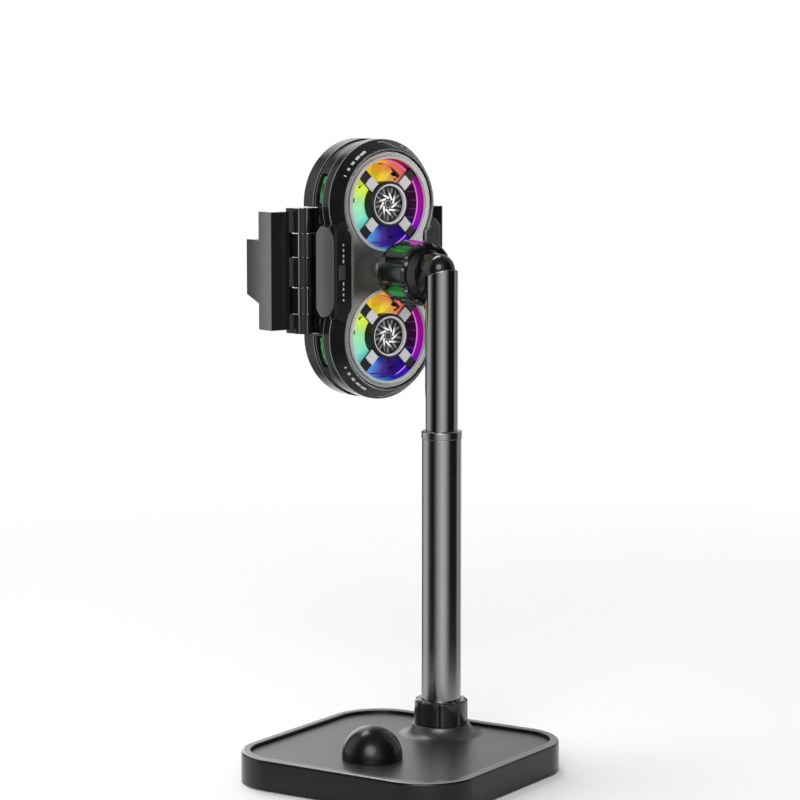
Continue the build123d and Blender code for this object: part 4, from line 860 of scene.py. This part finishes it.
plate_outline = twin_line(21.95, 18.45, 3.35, FRONT + 0.05)
print("bead line has", len(plate_outline), "points")

# %% Geometry Nodes in the same notation
def start_tree(name, sizes):
    """A tree with a geometry in, a geometry out and named number inputs."""
    tree = bpy.data.node_groups.new(name, "GeometryNodeTree")
    tree.interface.new_socket("Geometry", in_out="INPUT", socket_type="NodeSocketGeometry")
    tree.interface.new_socket("Geometry", in_out="OUTPUT", socket_type="NodeSocketGeometry")
    for label, value in sizes.items():
        kind = "NodeSocketInt" if isinstance(value, int) else "NodeSocketFloat"
        tree.interface.new_socket(label, in_out="INPUT", socket_type=kind).default_value = value
    entry = tree.nodes.new("NodeGroupInput")
    wires = {socket.name: Wire(tree, socket) for socket in entry.outputs if socket.name}
    return tree, wires


def finish_tree(tree, shape, material):
    """Realise the instances, set the material and hand the shape out."""
    real = shape.node("GeometryNodeRealizeInstances", {}, {0: shape})
    painted = shape.node("GeometryNodeSetMaterial", {}, {"Geometry": real, "Material": material})
    leave = tree.nodes.new("NodeGroupOutput")
    tree.links.new(painted.socket, leave.inputs[0])
    return tree


def grow(name, line, tree, values, body):
    """Run a tree on a line and keep the result as a plain mesh on a body."""
    modifier = line.modifiers.new(name, "NODES")
    modifier.node_group = tree
    for item in tree.interface.items_tree:
        if item.in_out == "INPUT" and item.name in values:
            modifier[item.identifier] = values[item.name]
    evaluated = line.evaluated_get(bpy.context.evaluated_depsgraph_get())
    mesh = bpy.data.meshes.new_from_object(evaluated)
    bpy.data.objects.remove(line)
    piece = bpy.data.objects.new(name, mesh)
    scene.collection.objects.link(piece)
    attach(piece, body)


# %% A tree for a row of bars
def bar_row(material):
    """Rounded bars along a line, each longer than the last, in millimetres."""
    tree, size = start_tree(f"bars_{material.name}",
                            {"Count": 4, "First": 1.0, "Growth": 0.6, "Width": 1.0, "Proud": 0.1})
    line = size["Geometry"]
    path = line.node("GeometryNodeMeshToCurve", {}, {"Mesh": line})
    spots = path.node("GeometryNodeCurveToPoints", {"mode": "COUNT"}, {"Curve": path, "Count": size["Count"]})
    tangent = Wire(tree, spots.socket.node.outputs["Tangent"])
    facing = line.node("GeometryNodeInputNamedAttribute", {"data_type": "FLOAT_VECTOR"}, {"Name": "facing"})
    turned = line.node("FunctionNodeAxesToRotation", {"primary_axis": "Z", "secondary_axis": "X"},
                       {"Primary Axis": facing, "Secondary Axis": tangent})
    outline = line.node("GeometryNodeCurvePrimitiveQuadrilateral", {}, {"Width": 1.0, "Height": 1.0})
    rounded = outline.node("GeometryNodeFilletCurve", {"mode": "POLY"},
                           {"Curve": outline, "Count": 3, "Radius": 0.18})
    face = rounded.node("GeometryNodeFillCurve", {"mode": "NGONS"}, {"Curve": rounded})
    bar = face.node("GeometryNodeExtrudeMesh", {"mode": "FACES"}, {"Mesh": face, "Offset Scale": 1.0})
    bottom = face.node("GeometryNodeFlipFaces", {}, {0: face})
    solid = bar.node("GeometryNodeJoinGeometry", {}, {0: bar})
    tree.links.new(bottom.socket, solid.socket.node.inputs[0])
    closed = solid.node("GeometryNodeMergeByDistance", {}, {"Geometry": solid, "Distance": 0.001})
    order = line.node("GeometryNodeInputIndex")
    length = (size["First"] + order * size["Growth"]) * MM
    scale = line.node("ShaderNodeCombineXYZ", {}, {0: length, 1: size["Width"] * MM, 2: size["Proud"] * MM})
    placed = spots.node("GeometryNodeInstanceOnPoints", {},
                        {"Points": spots, "Instance": closed, "Rotation": turned, "Scale": scale})
    return finish_tree(tree, placed, material)


# %% A tree for a bead
def bead(material):
    """A round bead along a line, in millimetres."""
    tree, size = start_tree(f"bead_{material.name}", {"Radius": 0.5, "Sides": 10})
    line = size["Geometry"]
    path = line.node("GeometryNodeMeshToCurve", {}, {"Mesh": line})
    ring = line.node("GeometryNodeCurvePrimitiveCircle", {},
                     {"Resolution": size["Sides"], "Radius": size["Radius"] * MM})
    swept = path.node("GeometryNodeCurveToMesh", {},
                      {"Curve": path, "Profile Curve": ring, "Fill Caps": True})
    smooth = swept.node("GeometryNodeSetShadeSmooth", {}, {0: swept})
    return finish_tree(tree, smooth, material)


bars_white = bar_row(finish["mark_white"])
bead_dark = bead(finish["bead_grey"])
bead_pale = bead(finish["rim_white"])
bead_line = bead(finish["line_grey"])
bead_glow = bead(finish["vent_glow"])
print("trees:", [tree.name for tree in bpy.data.node_groups])

# %% Marks, bead and lips
def bar_sizes(count, first, growth, width, proud):
    return {"Count": count, "First": first, "Growth": growth, "Width": width, "Proud": proud}


LIP_RADIUS, LIP_DEPTH, LIP_SIZES = 18.55, FRONT - 0.25, {"Radius": 0.3, "Sides": 12}
PIPE_RADIUS, PIPE_DEPTH, PIPE_SIZES = 23.4, 47.6, {"Radius": 1.3, "Sides": 12}
PIPE_MIDDLES, PIPE_REACH = {"left": 166, "right": 14}, 13      # degrees round a fan
MARK_X, MARK_HEIGHTS = -22.8, (4.5, 6.7, 8.8, 11.0)
BENT_LINE = ((24.9, 97), (24.9, 91), (23.3, 82), (23.2, 66), (23.2, 48))

for name, level in LEVELS.items():
    # Each piece: its name, its line, its tree, the tree's sizes and the name of a solid
    left_row = [on_slope(23.65, degrees, level) for degrees in (150.5, 146, 142, 138, 134, 130, 125, 120)]
    right_row = [on_slope(24.4, degrees, level) for degrees in (70, 64, 58, 52)]
    waist_row = [((MARK_X, FRONT, HEAD_Z + level * z), FORWARD) for z in MARK_HEIGHTS]
    lip = [round_fan(LIP_RADIUS, 5 * k, LIP_DEPTH, level) for k in range(72)]
    bent = [on_slope(radius, degrees, level) for radius, degrees in BENT_LINE]
    pieces = [
        ("left_marks", left_row, bars_white, bar_sizes(5, 0.6, 0.6, 1.2, 0.1), "front_bezel"),
        ("fan_lip", lip, bead_pale, LIP_SIZES, f"{name}_fan_guard"),
        ("bent_line", bent, bead_line, {"Radius": 0.2, "Sides": 8}, "front_bezel"),
        ("right_marks", right_row, bars_white, bar_sizes(3, 1.4, -0.2, 0.7, 0.1), "front_bezel"),
        ("waist_marks", waist_row, bars_white, bar_sizes(4, 1.4, -0.15, 0.6, 0.08), "front_bezel"),
    ]
    for side, middle in PIPE_MIDDLES.items():
        reach = range(middle - PIPE_REACH, middle + PIPE_REACH + 1)
        pipe = [round_fan(PIPE_RADIUS, degrees, PIPE_DEPTH, level) for degrees in reach]
        pieces.append((f"{side}_light_pipe", pipe, bead_glow, PIPE_SIZES, "mid_frame"))
    for piece, points, tree, sizes, solid in pieces:
        line = edge_line(f"{piece}_line", points, closed=piece == "fan_lip")
        grow(f"{name}_{piece}", line, tree, sizes, "cooler")
outline = edge_line("plate_bead_line", plate_outline, True)
grow("plate_bead", outline, bead_dark, {"Radius": 0.45, "Sides": 10}, "cooler")

# %% Lamps for some pieces alone
HEAD_WORDS = ("bezel", "plate", "guard", "hub_cap", "lip", "marks", "line", "grip", "bead")


def light_only(collection_name, lamps, words):
    """Let lamps light only the pieces on a body whose names hold one of the words."""
    lit_pieces = bpy.data.collections.new(collection_name)
    scene.collection.children.link(lit_pieces)
    for piece in bpy.data.objects:
        if piece.type == "MESH" and piece.parent and any(word in piece.name for word in words):
            lit_pieces.objects.link(piece)
    for lamp in lamps:
        lamp.light_linking.receiver_collection = lit_pieces


light_only("front_of_the_head", [near_box], HEAD_WORDS)
light_only("hinges", strips, ("jaw",))

# %% [markdown]
